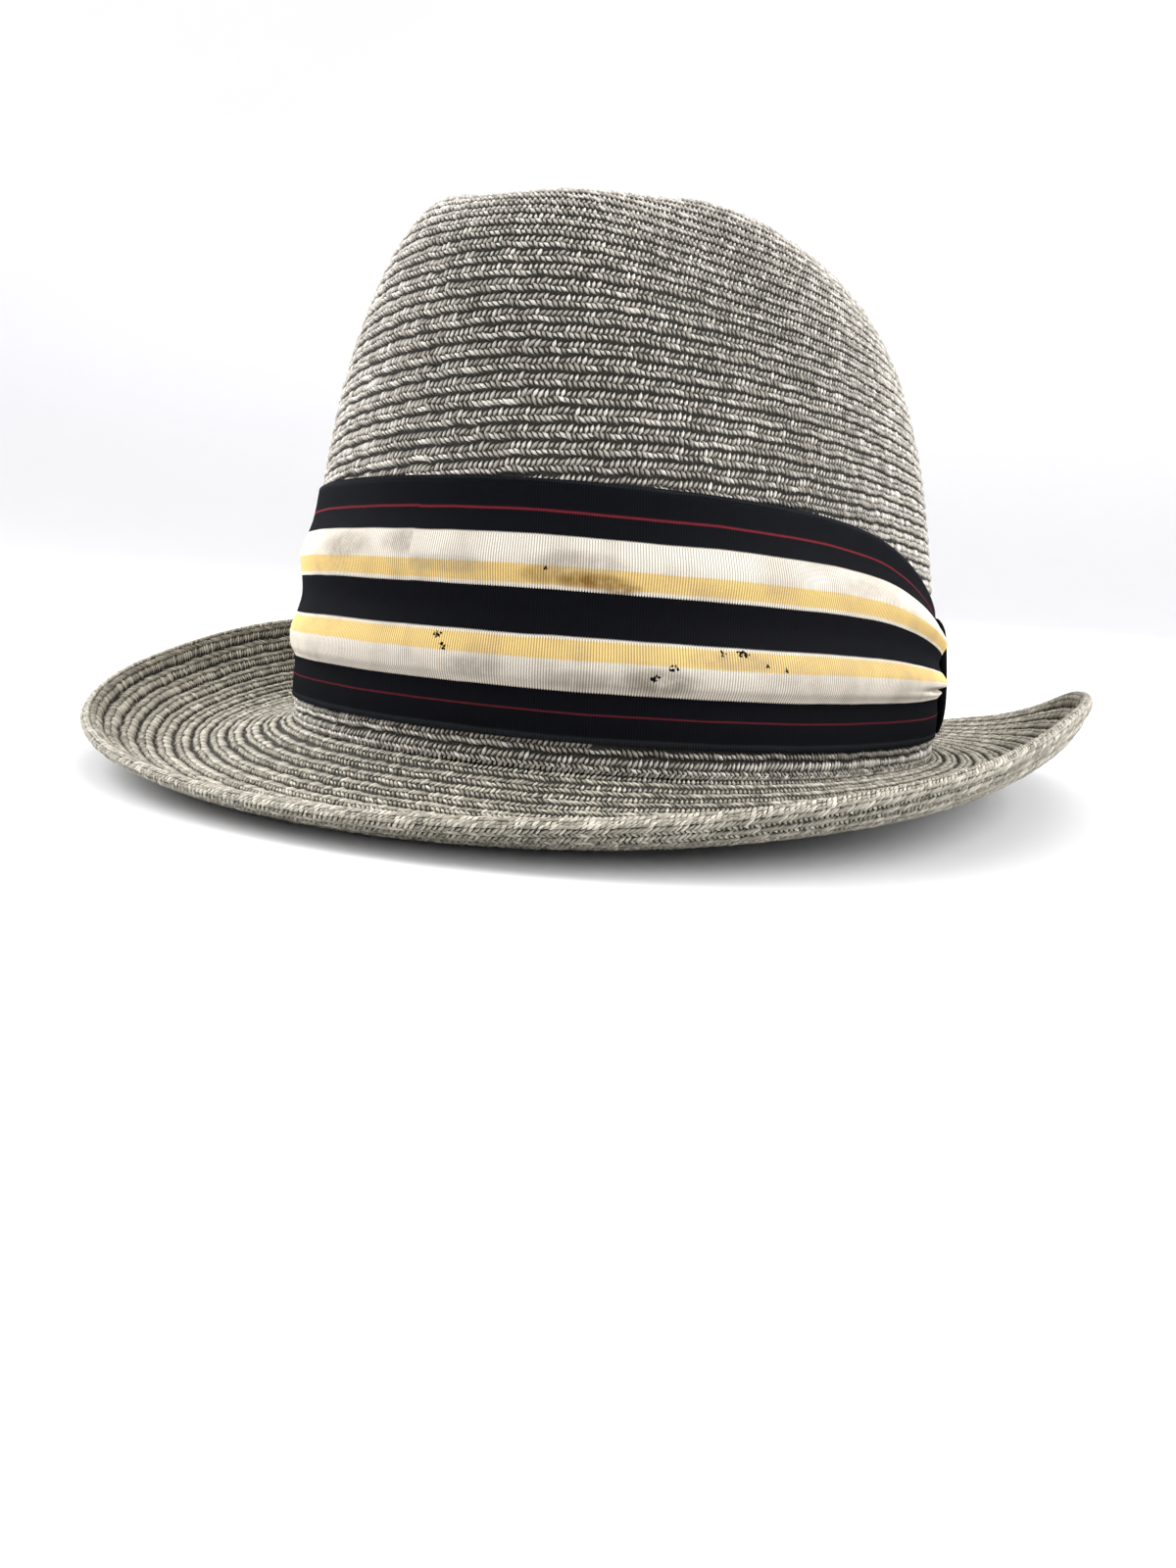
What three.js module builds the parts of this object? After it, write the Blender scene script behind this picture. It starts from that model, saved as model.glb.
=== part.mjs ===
// A short-brim fedora of sewn braid: a creased crown, a curled brim, a pleated ribbon and its keeper.
// Millimetres, +Z up. The wearer's front looks along -Y and the wearer's left is +X.
import * as THREE from "three";

// Head opening, measured outside the crown at the break, where crown and brim meet
const OUTER_GIRTH = 586;
const LENGTH_TO_WIDTH = 1.238;
const OVAL_POWER = 2.11; // 2 is an ellipse, more is squarer
const EGG = 0.023; // how much wider the back of the oval is than its front

// Crown before it is creased
const CROWN_RISE = 135.4;
const CROWN_WALL = 2.0;
const SHOULDER_POWER = 5.26; // how late the side turns over into the tip
const TIP_POWER = 4.4; // how flat the tip is
const TAPER_POWER = 1.35;
const TAPER = { side: 0.258, front: 0.04, back: 0.214, blend: 0.4 };
const TIP_FALL = { level: 0.108, bow: -0.057 }; // how the tip falls from front to back

// Folds pressed into the crown. Places along the hat run from -1 at the front to 1 at the back,
// and places up the crown from 0 at the break to 1 at the tip.
const FRONT_PINCH = { narrowing: 0.22, along: -0.65, reach_along: 0.275, up: 0.965, reach_up: 0.232 };
const TIP_CREASE = { depth: 28, half_width: 20, starts_up: 0.72, opens_along: -1.0, opens_over: 0.5 };

// Brim sections on one side, from the front round to the back: how far each section reaches along
// the braid, how it leaves the crown and how it stands at the rim. Angles are above level.
const BRIM_SECTIONS = [
  { azimuth: 0, width: 53, leave: -28, rim: 36 },
  { azimuth: 30, width: 54, leave: -25, rim: 43 },
  { azimuth: 60, width: 54, leave: -14, rim: 58 },
  { azimuth: 90, width: 52, leave: -2, rim: 82 },
  { azimuth: 120, width: 49, leave: 1, rim: 84 },
  { azimuth: 150, width: 47, leave: -3, rim: 34 },
  { azimuth: 180, width: 45, leave: -6, rim: 2 },
];
const BRIM_WALL = 2.2;
const CURL_POWER = 1.86; // how late along its width the brim curls
const RIM_ROLL = { extra_wall: 0.6, starts: 0.9 }; // the last row is folded under

// Ribbon round the foot of the crown
const RIBBON = { foot: 6.5, height: 51.7, slant: 3, wall: 1.0 };
const RIBBON_PLEATS = [
  { up: 0.0, stand_off: 0.1 },
  { up: 0.1, stand_off: 0.3 },
  { up: 0.2, stand_off: 0.4 },
  { up: 0.25, stand_off: 1.9 },
  { up: 0.33, stand_off: 2.4 },
  { up: 0.41, stand_off: 1.4 },
  { up: 0.5, stand_off: 0.6 },
  { up: 0.59, stand_off: 1.2 },
  { up: 0.69, stand_off: 2.4 },
  { up: 0.77, stand_off: 1.5 },
  { up: 0.86, stand_off: 0.4 },
  { up: 1.0, stand_off: 0.1 },
];
// The keeper draws the pleats above the lowest stripe together at the wearer's left.
const GATHER = {
  azimuth: 122,
  level_stripe: 0.22,
  shrink: 0.52,
  thicken: 0.5,
  front_reach: 30,
  back_reach: 34,
};
const KEEPER = { half_width: 5, wall: 1.4, crown: 0.6, bridge_power: 6 };

const GAP = 0.3; // between pieces that touch
const REST_TILT_DEG = 1.5; // nose up, so that the front dip and the back of the rim share the floor

// Mesh fineness
const SEGMENTS = 60;
const CROWN_RINGS = 20;
const BRIM_RINGS = 9;
const KEEPER_STEPS = { across: 5, up: 17 };

const HALF_WIDTH = halfWidth();
const HALF_LENGTH = HALF_WIDTH * LENGTH_TO_WIDTH;
const radians = THREE.MathUtils.degToRad;

/** Half the width of the oval whose girth is OUTER_GIRTH. */
function halfWidth() {
  const flatness = (LENGTH_TO_WIDTH - 1) / (LENGTH_TO_WIDTH + 1);
  const meanRadius = OUTER_GIRTH / (2 * Math.PI) / (1 + (flatness * flatness) / 4);
  return (2 * meanRadius) / (1 + LENGTH_TO_WIDTH);
}

/** The oval of the head with half axes of 1, from the front at azimuth 0 to the wearer's left. */
function unitOval(azimuth) {
  const across = Math.sin(azimuth);
  const along = -Math.cos(azimuth);
  const power = Math.abs(across) ** OVAL_POWER + Math.abs(along) ** OVAL_POWER;
  const radius = power ** (-1 / OVAL_POWER);
  return { across: radius * across * (1 + EGG * radius * along), along: radius * along };
}

/** A point on the outside of the crown. place runs from 0 at the break to 1 at the middle of the tip. */
function crownPoint(azimuth, place) {
  const turn = (Math.PI / 2) * place ** (SHOULDER_POWER / 2);
  const up = Math.sin(turn) ** (2 / SHOULDER_POWER);
  const span = Math.max(Math.cos(turn), 0) ** (2 / TIP_POWER);
  const oval = unitOval(azimuth);
  const atFront = (1 - Math.tanh(oval.along / TAPER.blend)) / 2;
  const lengthTaper = TAPER.front * atFront + TAPER.back * (1 - atFront);
  const taperUp = up ** TAPER_POWER;
  const along = (1 - lengthTaper * taperUp) * span * oval.along;
  const pinch = bell((along - FRONT_PINCH.along) / FRONT_PINCH.reach_along)
    * bell((up - FRONT_PINCH.up) / FRONT_PINCH.reach_up) * FRONT_PINCH.narrowing;
  const x = HALF_WIDTH * (1 - TAPER.side * taperUp) * span * oval.across * (1 - pinch);
  const fall = up * (TIP_FALL.level * along + TIP_FALL.bow * along * along);
  const creaseUp = THREE.MathUtils.smoothstep(up, TIP_CREASE.starts_up, 1);
  const creaseAlong = THREE.MathUtils.clamp((along - TIP_CREASE.opens_along) / TIP_CREASE.opens_over, 0, 1);
  const crease = TIP_CREASE.depth * bell(x / TIP_CREASE.half_width) * creaseUp * creaseAlong;
  return new THREE.Vector3(x, HALF_LENGTH * along, CROWN_RISE * up * (1 - fall) - crease);
}

function bell(distance) {
  return Math.exp(-distance * distance);
}

/** Places that are evenly spaced along the side of the crown, from the break to just short of the tip. */
function evenPlaces(count) {
  const fine = 400;
  const side = Math.PI / 2;
  const lengths = [0];
  for (let i = 1; i <= fine; i += 1) {
    const step = crownPoint(side, i / fine).distanceTo(crownPoint(side, (i - 1) / fine));
    lengths.push(lengths[i - 1] + step);
  }
  return Array.from({ length: count }, (_, ring) => {
    const target = (ring / count) * lengths[fine];
    const i = Math.max(lengths.findIndex((length) => length >= target), 1);
    return (i - (lengths[i] - target) / (lengths[i] - lengths[i - 1])) / fine;
  });
}

/** The place at which the crown has risen a given height above the break, before it is creased. */
function placeAtHeight(height) {
  const turn = Math.asin((height / CROWN_RISE) ** (SHOULDER_POWER / 2));
  return (turn / (Math.PI / 2)) ** (2 / SHOULDER_POWER);
}

/** The normal of a surface that is a function of an azimuth and of a place from 0 to 1. */
function surfaceNormal(surface, azimuth, place) {
  const step = 0.003;
  const middle = THREE.MathUtils.clamp(place, step, 1 - step);
  const round = surface(azimuth + step, middle).sub(surface(azimuth - step, middle));
  const up = surface(azimuth, middle + step).sub(surface(azimuth, middle - step));
  return round.cross(up).normalize();
}

/** Numbers from 0 to 1 at even steps. */
function evenShares(count) {
  return Array.from({ length: count }, (_, i) => i / (count - 1));
}

/** A ring of points, one for each segment, from a function of the azimuth. */
function ringOf(pointAt) {
  return Array.from({ length: SEGMENTS }, (_, i) => pointAt((i / SEGMENTS) * 2 * Math.PI));
}

/** A closed mesh through rings of points. A loop of rings closes on itself, and otherwise poles close it. */
function solidThroughRings(rings, poles = null) {
  const count = rings[0].length;
  const points = rings.flat();
  const indices = [];
  const joined = poles ? rings.length - 1 : rings.length;
  for (let ring = 0; ring < joined; ring += 1) {
    const here = ring * count;
    const next = ((ring + 1) % rings.length) * count;
    for (let i = 0; i < count; i += 1) {
      const j = (i + 1) % count;
      indices.push(here + i, here + j, next + j, here + i, next + j, next + i);
    }
  }
  if (poles) {
    const start = points.push(poles.start) - 1;
    const end = points.push(poles.end) - 1;
    const last = (rings.length - 1) * count;
    for (let i = 0; i < count; i += 1) {
      const j = (i + 1) % count;
      indices.push(start, j, i, end, last + i, last + j);
    }
  }
  const geometry = new THREE.BufferGeometry().setFromPoints(points);
  geometry.setIndex(indices);
  geometry.computeVertexNormals();
  return geometry;
}

/** A value from a table of rows, smooth between them. Rows past either end are mirrored. */
function smoothColumn(rows, place, column, at) {
  const last = rows.length - 1;
  const row = (i) => rows[i < 0 ? -i : i > last ? 2 * last - i : i][column];
  let i = 0;
  while (i < last - 1 && rows[i + 1][place] < at) {
    i += 1;
  }
  const t = (at - rows[i][place]) / (rows[i + 1][place] - rows[i][place]);
  const slopeHere = (row(i + 1) - row(i - 1)) / 2;
  const slopeNext = (row(i + 2) - row(i)) / 2;
  const bend = 3 * (row(i + 1) - row(i)) - 2 * slopeHere - slopeNext;
  const twist = 2 * (row(i) - row(i + 1)) + slopeHere + slopeNext;
  return row(i) + t * (slopeHere + t * (bend + t * twist));
}

/** Degrees away from the front, from 0 to 180, on either side. */
function degreesFromFront(azimuth) {
  return THREE.MathUtils.radToDeg(Math.acos(THREE.MathUtils.clamp(Math.cos(azimuth), -1, 1)));
}

/** A point on the upper face of the brim. share runs from 0 at the crown to 1 at the rim. */
function brimPoint(azimuth, share) {
  const at = degreesFromFront(azimuth);
  const width = smoothColumn(BRIM_SECTIONS, "azimuth", "width", at);
  const leave = radians(smoothColumn(BRIM_SECTIONS, "azimuth", "leave", at));
  const rim = radians(smoothColumn(BRIM_SECTIONS, "azimuth", "rim", at));
  const foot = crownPoint(azimuth, 0);
  const turn = 0.002;
  const tangent = crownPoint(azimuth + turn, 0).sub(crownPoint(azimuth - turn, 0));
  const out = new THREE.Vector3(tangent.y, -tangent.x, 0).normalize();
  const steps = 16;
  const length = (width * share) / steps;
  for (let i = 0; i < steps; i += 1) {
    const angle = leave + (rim - leave) * (Math.abs(share) * (i + 0.5) / steps) ** CURL_POWER;
    foot.addScaledVector(out, Math.cos(angle) * length);
    foot.z += Math.sin(angle) * length;
  }
  return foot;
}

/** Inner face of the crown: the outer face moved in by the wall. */
function crownInside(azimuth, place) {
  const out = surfaceNormal(crownPoint, azimuth, place);
  const point = crownPoint(azimuth, place).addScaledVector(out, -CROWN_WALL);
  return place === 0 ? point.setZ(0) : point;
}

function crownGeometry() {
  const places = evenPlaces(CROWN_RINGS);
  const outer = places.map((place) => ringOf((azimuth) => crownPoint(azimuth, place)));
  const inner = places.map((place) => ringOf((azimuth) => crownInside(azimuth, place)));
  const tip = crownPoint(0, 1);
  const poles = { start: tip.clone().setZ(tip.z - CROWN_WALL), end: tip };
  return solidThroughRings([...inner.reverse(), ...outer], poles);
}

/** Lower face of the brim: the upper face moved down by the wall, which grows at the rolled rim. */
function brimUnderside(azimuth, share) {
  const wall = BRIM_WALL + RIM_ROLL.extra_wall * THREE.MathUtils.smoothstep(share, RIM_ROLL.starts, 1);
  const down = surfaceNormal(brimPoint, azimuth, share);
  return brimPoint(azimuth, share).addScaledVector(down, wall);
}

function brimGeometry() {
  const shares = evenShares(BRIM_RINGS);
  const lower = shares.map((share) => ringOf((azimuth) => brimUnderside(azimuth, share)));
  const upper = shares.map((share) => ringOf((azimuth) => brimPoint(azimuth, share)));
  const headline = ringOf((azimuth) => crownInside(azimuth, 0));
  const headlineBelow = headline.map((point) => point.clone().setZ(-BRIM_WALL));
  return solidThroughRings([headlineBelow, ...lower, ...upper.reverse(), headline]);
}

/** How far the keeper has drawn the pleats together, from 0 to 1. */
function gathered(azimuth) {
  const away = THREE.MathUtils.euclideanModulo(THREE.MathUtils.radToDeg(azimuth), 360) - GATHER.azimuth;
  const reach = away < 0 ? GATHER.front_reach : GATHER.back_reach;
  return bell(away / reach);
}

/** The place on the crown behind a point of the ribbon that the keeper has drawn down. */
function placeBehindRibbon(azimuth, up, drawn) {
  const above = Math.max(up - GATHER.level_stripe, 0);
  const height = RIBBON.height * (up - above * GATHER.shrink * drawn);
  return placeAtHeight(RIBBON.foot + height + RIBBON.slant * Math.sin(azimuth) * up);
}

/** A point on the ribbon. up runs from 0 at its lower edge to 1, and lift stands it off its own face. */
function ribbonPoint(azimuth, up, lift) {
  const drawn = gathered(azimuth);
  const place = placeBehindRibbon(azimuth, up, drawn);
  const pleat = smoothColumn(RIBBON_PLEATS, "up", "stand_off", THREE.MathUtils.clamp(up, 0, 1));
  const out = surfaceNormal(crownPoint, azimuth, place);
  const standOff = GAP + Math.max(pleat, 0) * (1 + GATHER.thicken * drawn) + lift;
  return crownPoint(azimuth, place).addScaledVector(out, standOff);
}

function ribbonGeometry() {
  const ups = RIBBON_PLEATS.map((pleat) => pleat.up);
  const outer = ups.map((up) => ringOf((azimuth) => ribbonPoint(azimuth, up, RIBBON.wall)));
  const inner = ups.map((up) => ringOf((azimuth) => ribbonPoint(azimuth, up, 0)));
  return solidThroughRings([...outer, ...inner.reverse()]);
}

/** A point on the keeper, which bridges the gathered pleats and closes on the ribbon's two edges. */
function keeperPoint(across, up, lift) {
  const azimuth = radians(GATHER.azimuth) + (across * KEEPER.half_width) / HALF_WIDTH;
  const highest = Math.max(...RIBBON_PLEATS.map((pleat) => pleat.stand_off)) * (1 + GATHER.thicken);
  const bridge = highest * (1 - (2 * up - 1) ** KEEPER.bridge_power) + KEEPER.crown * (1 - across * across);
  const place = placeBehindRibbon(azimuth, up, 1);
  const out = surfaceNormal(crownPoint, azimuth, place);
  return crownPoint(azimuth, place).addScaledVector(out, 2 * GAP + RIBBON.wall + bridge + lift);
}

function keeperGeometry() {
  const places = evenShares(KEEPER_STEPS.across).map((share) => 2 * share - 1);
  const loops = evenShares(KEEPER_STEPS.up).map((up) => {
    const outer = places.map((across) => keeperPoint(across, up, KEEPER.wall));
    const inner = places.map((across) => keeperPoint(across, up, 0));
    return [...outer, ...inner.reverse()];
  });
  const poles = { start: middleOf(loops[0]), end: middleOf(loops[loops.length - 1]) };
  return solidThroughRings(loops, poles);
}

function middleOf(points) {
  const sum = points.reduce((total, point) => total.add(point), new THREE.Vector3());
  return sum.divideScalar(points.length);
}

function piece(name, geometry, color, roughness) {
  const mesh = new THREE.Mesh(geometry, new THREE.MeshStandardMaterial({ color, roughness, metalness: 0 }));
  mesh.name = name;
  return mesh;
}

const crown = piece("crown", crownGeometry(), 0x8d8a80, 0.8);
crown.position.z = GAP;
const ribbon = piece("ribbon_band", ribbonGeometry(), 0x2b2d30, 0.7);
ribbon.position.z = GAP;
const keeper = piece("ribbon_keeper", keeperGeometry(), 0x1d1f22, 0.7);
keeper.position.z = GAP;
const brim = piece("brim", brimGeometry(), 0x8d8a80, 0.8);

// The hat rests on the front dip of its brim and on the back of its rim.
const tilted = new THREE.Group();
tilted.add(crown, brim, ribbon, keeper);
tilted.rotation.x = -radians(REST_TILT_DEG);

const fedora = new THREE.Group();
fedora.add(tilted);
fedora.updateMatrixWorld(true);
const reach = new THREE.Box3().setFromObject(fedora, true);
const centre = reach.getCenter(new THREE.Vector3());
tilted.position.set(-centre.x, -centre.y, -reach.min.z);

export default fedora;
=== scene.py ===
"""Dresses a short-brim fedora of sewn braid: its plaited rows, its pleated striped ribbon and its keeper.

The hat's form is worked out again here from the same sizes as its solids, in metres. The wearer's front
looks along -Y and the wearer's left is +X.
"""

import logging
import math
from collections.abc import Callable, Sequence
from dataclasses import dataclass, field
from enum import Enum

import bpy
import numpy as np
from mathutils import Matrix, Vector


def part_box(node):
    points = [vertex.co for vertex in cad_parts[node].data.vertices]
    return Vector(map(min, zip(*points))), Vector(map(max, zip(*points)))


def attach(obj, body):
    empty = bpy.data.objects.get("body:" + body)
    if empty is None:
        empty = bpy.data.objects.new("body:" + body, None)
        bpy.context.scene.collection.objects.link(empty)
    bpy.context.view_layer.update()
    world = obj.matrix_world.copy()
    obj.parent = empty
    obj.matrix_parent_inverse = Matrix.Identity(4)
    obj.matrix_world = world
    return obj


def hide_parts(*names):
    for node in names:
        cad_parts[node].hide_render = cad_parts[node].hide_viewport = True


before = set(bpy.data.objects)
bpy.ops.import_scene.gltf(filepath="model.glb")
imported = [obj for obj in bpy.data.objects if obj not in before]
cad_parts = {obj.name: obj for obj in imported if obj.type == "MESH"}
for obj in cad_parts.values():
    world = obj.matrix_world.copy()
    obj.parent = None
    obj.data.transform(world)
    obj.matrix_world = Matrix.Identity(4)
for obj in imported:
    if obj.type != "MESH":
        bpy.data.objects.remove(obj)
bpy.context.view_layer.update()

MM = 0.001
FULL_TURN = 2 * math.pi
LOG = logging.getLogger("fedora")

Array = np.ndarray
Surface = Callable[[Array, Array], Array]
Colour = tuple[float, float, float]


def bell(distance: Array) -> Array:
    """A smooth hump that is 1 at no distance and fades to 0."""
    return np.exp(-np.square(distance))


def smooth_step(value: Array, start: float, end: float) -> Array:
    """0 before start, 1 after end, smooth between them."""
    share = np.clip((value - start) / (end - start), 0, 1)
    return share * share * (3 - 2 * share)


def unit(vectors: Array) -> Array:
    """The vectors at length 1."""
    return vectors / np.linalg.norm(vectors, axis=-1, keepdims=True)


def smooth_column(places: Sequence[float], values: Sequence[float], at: Array) -> Array:
    """Reads a column of a table, smooth between its rows.

    Args:
        places: Where each row stands, rising.
        values: The column's value in each row.
        at: The places to read.

    Returns:
        The values there. Rows past either end are mirrored.
    """
    where = np.asarray(places, float)
    column = np.asarray(values, float)
    last = len(where) - 1
    row = np.clip(np.searchsorted(where, at) - 1, 0, last - 1)

    def value(i: Array) -> Array:
        """The column's value in a row, mirrored past the ends."""
        i = np.abs(i)
        return column[np.where(i > last, 2 * last - i, i)]

    t = (at - where[row]) / (where[row + 1] - where[row])
    slope_here = (value(row + 1) - value(row - 1)) / 2
    slope_next = (value(row + 2) - value(row)) / 2
    bend = 3 * (value(row + 1) - value(row)) - 2 * slope_here - slope_next
    twist = 2 * (value(row) - value(row + 1)) + slope_here + slope_next
    return value(row) + t * (slope_here + t * (bend + t * twist))


def surface_normal(surface: Surface, azimuth: Array, place: Array) -> Array:
    """The normal of a surface that is a function of an azimuth and of a place from 0 to 1.

    Args:
        surface: The surface.
        azimuth: Azimuths in radians.
        place: Places on the surface.

    Returns:
        Unit normals, by the right-hand rule from the azimuth to the place.
    """
    step = 0.003
    middle = np.clip(place, step, 1 - step)
    round_it = surface(azimuth + step, middle) - surface(azimuth - step, middle)
    up = surface(azimuth, middle + step) - surface(azimuth, middle - step)
    return unit(np.cross(round_it, up))


@dataclass(frozen=True)
class BrimSection:
    """One section of the brim: how far it reaches along the braid, and its angles above level.

    The azimuth and both angles are in degrees: leave where it leaves the crown, rim at its edge.
    """

    azimuth: float
    width: float
    leave: float
    rim: float


@dataclass(frozen=True)
class HatForm:
    """The bare form of the hat, level, with its break at z = 0.

    Azimuths run from the front towards the wearer's left. Places run from 0 at the break to 1 at the
    middle of the tip, and shares from 0 at the crown to 1 at the rim of the brim.
    """

    girth: float = 586 * MM
    length_to_width: float = 1.238
    oval_power: float = 2.11
    egg: float = 0.023
    rise: float = 135.4 * MM
    crown_wall: float = 2.0 * MM
    shoulder_power: float = 5.26
    tip_power: float = 4.4
    taper_power: float = 1.35
    taper_side: float = 0.258
    taper_front: float = 0.04
    taper_back: float = 0.214
    taper_blend: float = 0.4
    fall_level: float = 0.108
    fall_bow: float = -0.057
    pinch_narrowing: float = 0.22
    pinch_along: float = -0.65
    pinch_reach_along: float = 0.275
    pinch_up: float = 0.965
    pinch_reach_up: float = 0.232
    crease_depth: float = 28 * MM
    crease_half_width: float = 20 * MM
    crease_starts_up: float = 0.72
    crease_opens_along: float = -1.0
    crease_opens_over: float = 0.5
    sections: tuple[BrimSection, ...] = (
        BrimSection(azimuth=0, width=53 * MM, leave=-28, rim=36),
        BrimSection(azimuth=30, width=54 * MM, leave=-25, rim=43),
        BrimSection(azimuth=60, width=54 * MM, leave=-14, rim=58),
        BrimSection(azimuth=90, width=52 * MM, leave=-2, rim=82),
        BrimSection(azimuth=120, width=49 * MM, leave=1, rim=84),
        BrimSection(azimuth=150, width=47 * MM, leave=-3, rim=34),
        BrimSection(azimuth=180, width=45 * MM, leave=-6, rim=2),
    )
    brim_wall: float = 2.2 * MM
    under_relief: float = 0.85 * MM
    curl_power: float = 1.86
    roll_extra: float = 0.6 * MM
    roll_starts: float = 0.9
    roll_bulge: float = 0.6
    gap: float = 0.3 * MM
    rest_tilt: float = math.radians(1.5)

    @property
    def half_width(self) -> float:
        """Half the width of the oval that has the girth."""
        flatness = (self.length_to_width - 1) / (self.length_to_width + 1)
        mean_radius = self.girth / FULL_TURN / (1 + flatness**2 / 4)
        return 2 * mean_radius / (1 + self.length_to_width)

    @property
    def raised(self) -> Array:
        """How far the crown and what lies on it stand above the brim."""
        return np.array([0, 0, self.gap])

    def unit_oval(self, azimuth: Array) -> tuple[Array, Array]:
        """The oval of the head with half axes of 1, as its parts across and along the hat."""
        across, along = np.sin(azimuth), -np.cos(azimuth)
        power = np.abs(across) ** self.oval_power + np.abs(along) ** self.oval_power
        radius = power ** (-1 / self.oval_power)
        return radius * across * (1 + self.egg * radius * along), radius * along

    def rise_at(self, place: Array) -> Array:
        """How far the crown has risen at a place, from 0 to 1, before it is creased."""
        turn = math.pi / 2 * np.asarray(place) ** (self.shoulder_power / 2)
        return np.sin(turn) ** (2 / self.shoulder_power)

    def place_at_height(self, height: Array) -> Array:
        """The place at which the crown has risen a given height above the break, before it is creased."""
        turn = np.arcsin(np.clip(height / self.rise, 0, 1) ** (self.shoulder_power / 2))
        return (turn / (math.pi / 2)) ** (2 / self.shoulder_power)

    def crown_point(self, azimuth: Array, place: Array) -> Array:
        """Points on the outside of the crown.

        Args:
            azimuth: Azimuths in radians.
            place: Places up the crown, from 0 to 1.

        Returns:
            The points, with the crease and the pinch pressed in.
        """
        azimuth, place = np.broadcast_arrays(azimuth, place)
        turn = math.pi / 2 * place ** (self.shoulder_power / 2)
        up = self.rise_at(place)
        span = np.maximum(np.cos(turn), 0) ** (2 / self.tip_power)
        oval_across, oval_along = self.unit_oval(azimuth)
        at_front = (1 - np.tanh(oval_along / self.taper_blend)) / 2
        length_taper = self.taper_front * at_front + self.taper_back * (1 - at_front)
        taper_up = up**self.taper_power
        along = (1 - length_taper * taper_up) * span * oval_along
        pinch = (
            bell((along - self.pinch_along) / self.pinch_reach_along)
            * bell((up - self.pinch_up) / self.pinch_reach_up)
            * self.pinch_narrowing
        )
        x = self.half_width * (1 - self.taper_side * taper_up) * span * oval_across * (1 - pinch)
        fall = up * (self.fall_level * along + self.fall_bow * along * along)
        crease = (
            self.crease_depth
            * bell(x / self.crease_half_width)
            * smooth_step(up, self.crease_starts_up, 1)
            * np.clip((along - self.crease_opens_along) / self.crease_opens_over, 0, 1)
        )
        y = self.half_width * self.length_to_width * along
        return np.stack([x, y, self.rise * up * (1 - fall) - crease], axis=-1)

    def brim_point(self, azimuth: Array, share: Array) -> Array:
        """Points on the upper face of the brim.

        Args:
            azimuth: Azimuths in radians.
            share: How far across the brim, from 0 at the crown to 1 at the rim.

        Returns:
            The points.
        """
        azimuth, share = np.broadcast_arrays(azimuth, share)
        from_front = np.degrees(np.arccos(np.clip(np.cos(azimuth), -1, 1)))
        rows = [section.azimuth for section in self.sections]
        width = smooth_column(rows, [section.width for section in self.sections], from_front)
        leave = np.radians(smooth_column(rows, [section.leave for section in self.sections], from_front))
        rim = np.radians(smooth_column(rows, [section.rim for section in self.sections], from_front))
        foot = np.zeros_like(share)
        step = 0.002
        tangent = self.crown_point(azimuth + step, foot) - self.crown_point(azimuth - step, foot)
        out = unit(np.stack([tangent[..., 1], -tangent[..., 0], foot], axis=-1))
        point = self.crown_point(azimuth, foot)
        steps = 16
        length = width * share / steps
        for i in range(steps):
            turned = (np.abs(share) * (i + 0.5) / steps) ** self.curl_power
            angle = leave + (rim - leave) * turned
            point = point + out * (np.cos(angle) * length)[..., None]
            point[..., 2] += np.sin(angle) * length
        return point

    def brim_underside(self, azimuth: Array, share: Array) -> Array:
        """Points on the lower face of the brim's bed, a wall below the upper one that thickens to its rim."""
        down = surface_normal(self.brim_point, azimuth, share)
        wall = self.brim_wall - self.under_relief + self.roll_extra * smooth_step(share, self.roll_starts, 1)
        return self.brim_point(azimuth, share) + down * wall[..., None]

    def rim_point(self, azimuth: Array, turn: Array) -> Array:
        """Points round the edge of the brim, from -1 at the lower face to 1 at the upper one."""
        edge = np.ones_like(azimuth)
        upper, lower = self.brim_point(azimuth, edge), self.brim_underside(azimuth, edge)
        out = unit(upper - self.brim_point(azimuth, edge - 0.02))
        half = (upper - lower) / 2
        reach = np.linalg.norm(half, axis=-1, keepdims=True)
        angle = (turn * math.pi / 2)[..., None]
        return (upper + lower) / 2 + half * np.sin(angle) + out * reach * self.roll_bulge * np.cos(angle)


@dataclass(frozen=True)
class Rest:
    """How the hat stands on its floor: turned nose up about X, then moved to where the frame has it."""

    tilt: float
    shift: Vector

    @classmethod
    def from_frame(cls, form: HatForm) -> "Rest":
        """Finds the move from the frame's crown, whose lowest and rearmost point is at the back of the break.

        Args:
            form: The level form of the hat.

        Returns:
            The way the hat rests.
        """
        level = cls(form.rest_tilt, Vector((0, 0, 0)))
        back = level.put(form.crown_point(np.array(math.pi), np.array(0.0)) + form.raised)
        low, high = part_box("crown")
        return cls(form.rest_tilt, Vector((0, high.y - back[1], low.z - back[2])))

    def put(self, points: Array) -> Array:
        """Points of the level hat, moved to where they rest."""
        return self.turn(points) + np.array(self.shift)

    def turn(self, vectors: Array) -> Array:
        """Directions of the level hat, turned as it rests."""
        cos, sin = math.cos(self.tilt), math.sin(self.tilt)
        x, y, z = vectors[..., 0], vectors[..., 1], vectors[..., 2]
        return np.stack([x, y * cos + z * sin, z * cos - y * sin], axis=-1)


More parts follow.
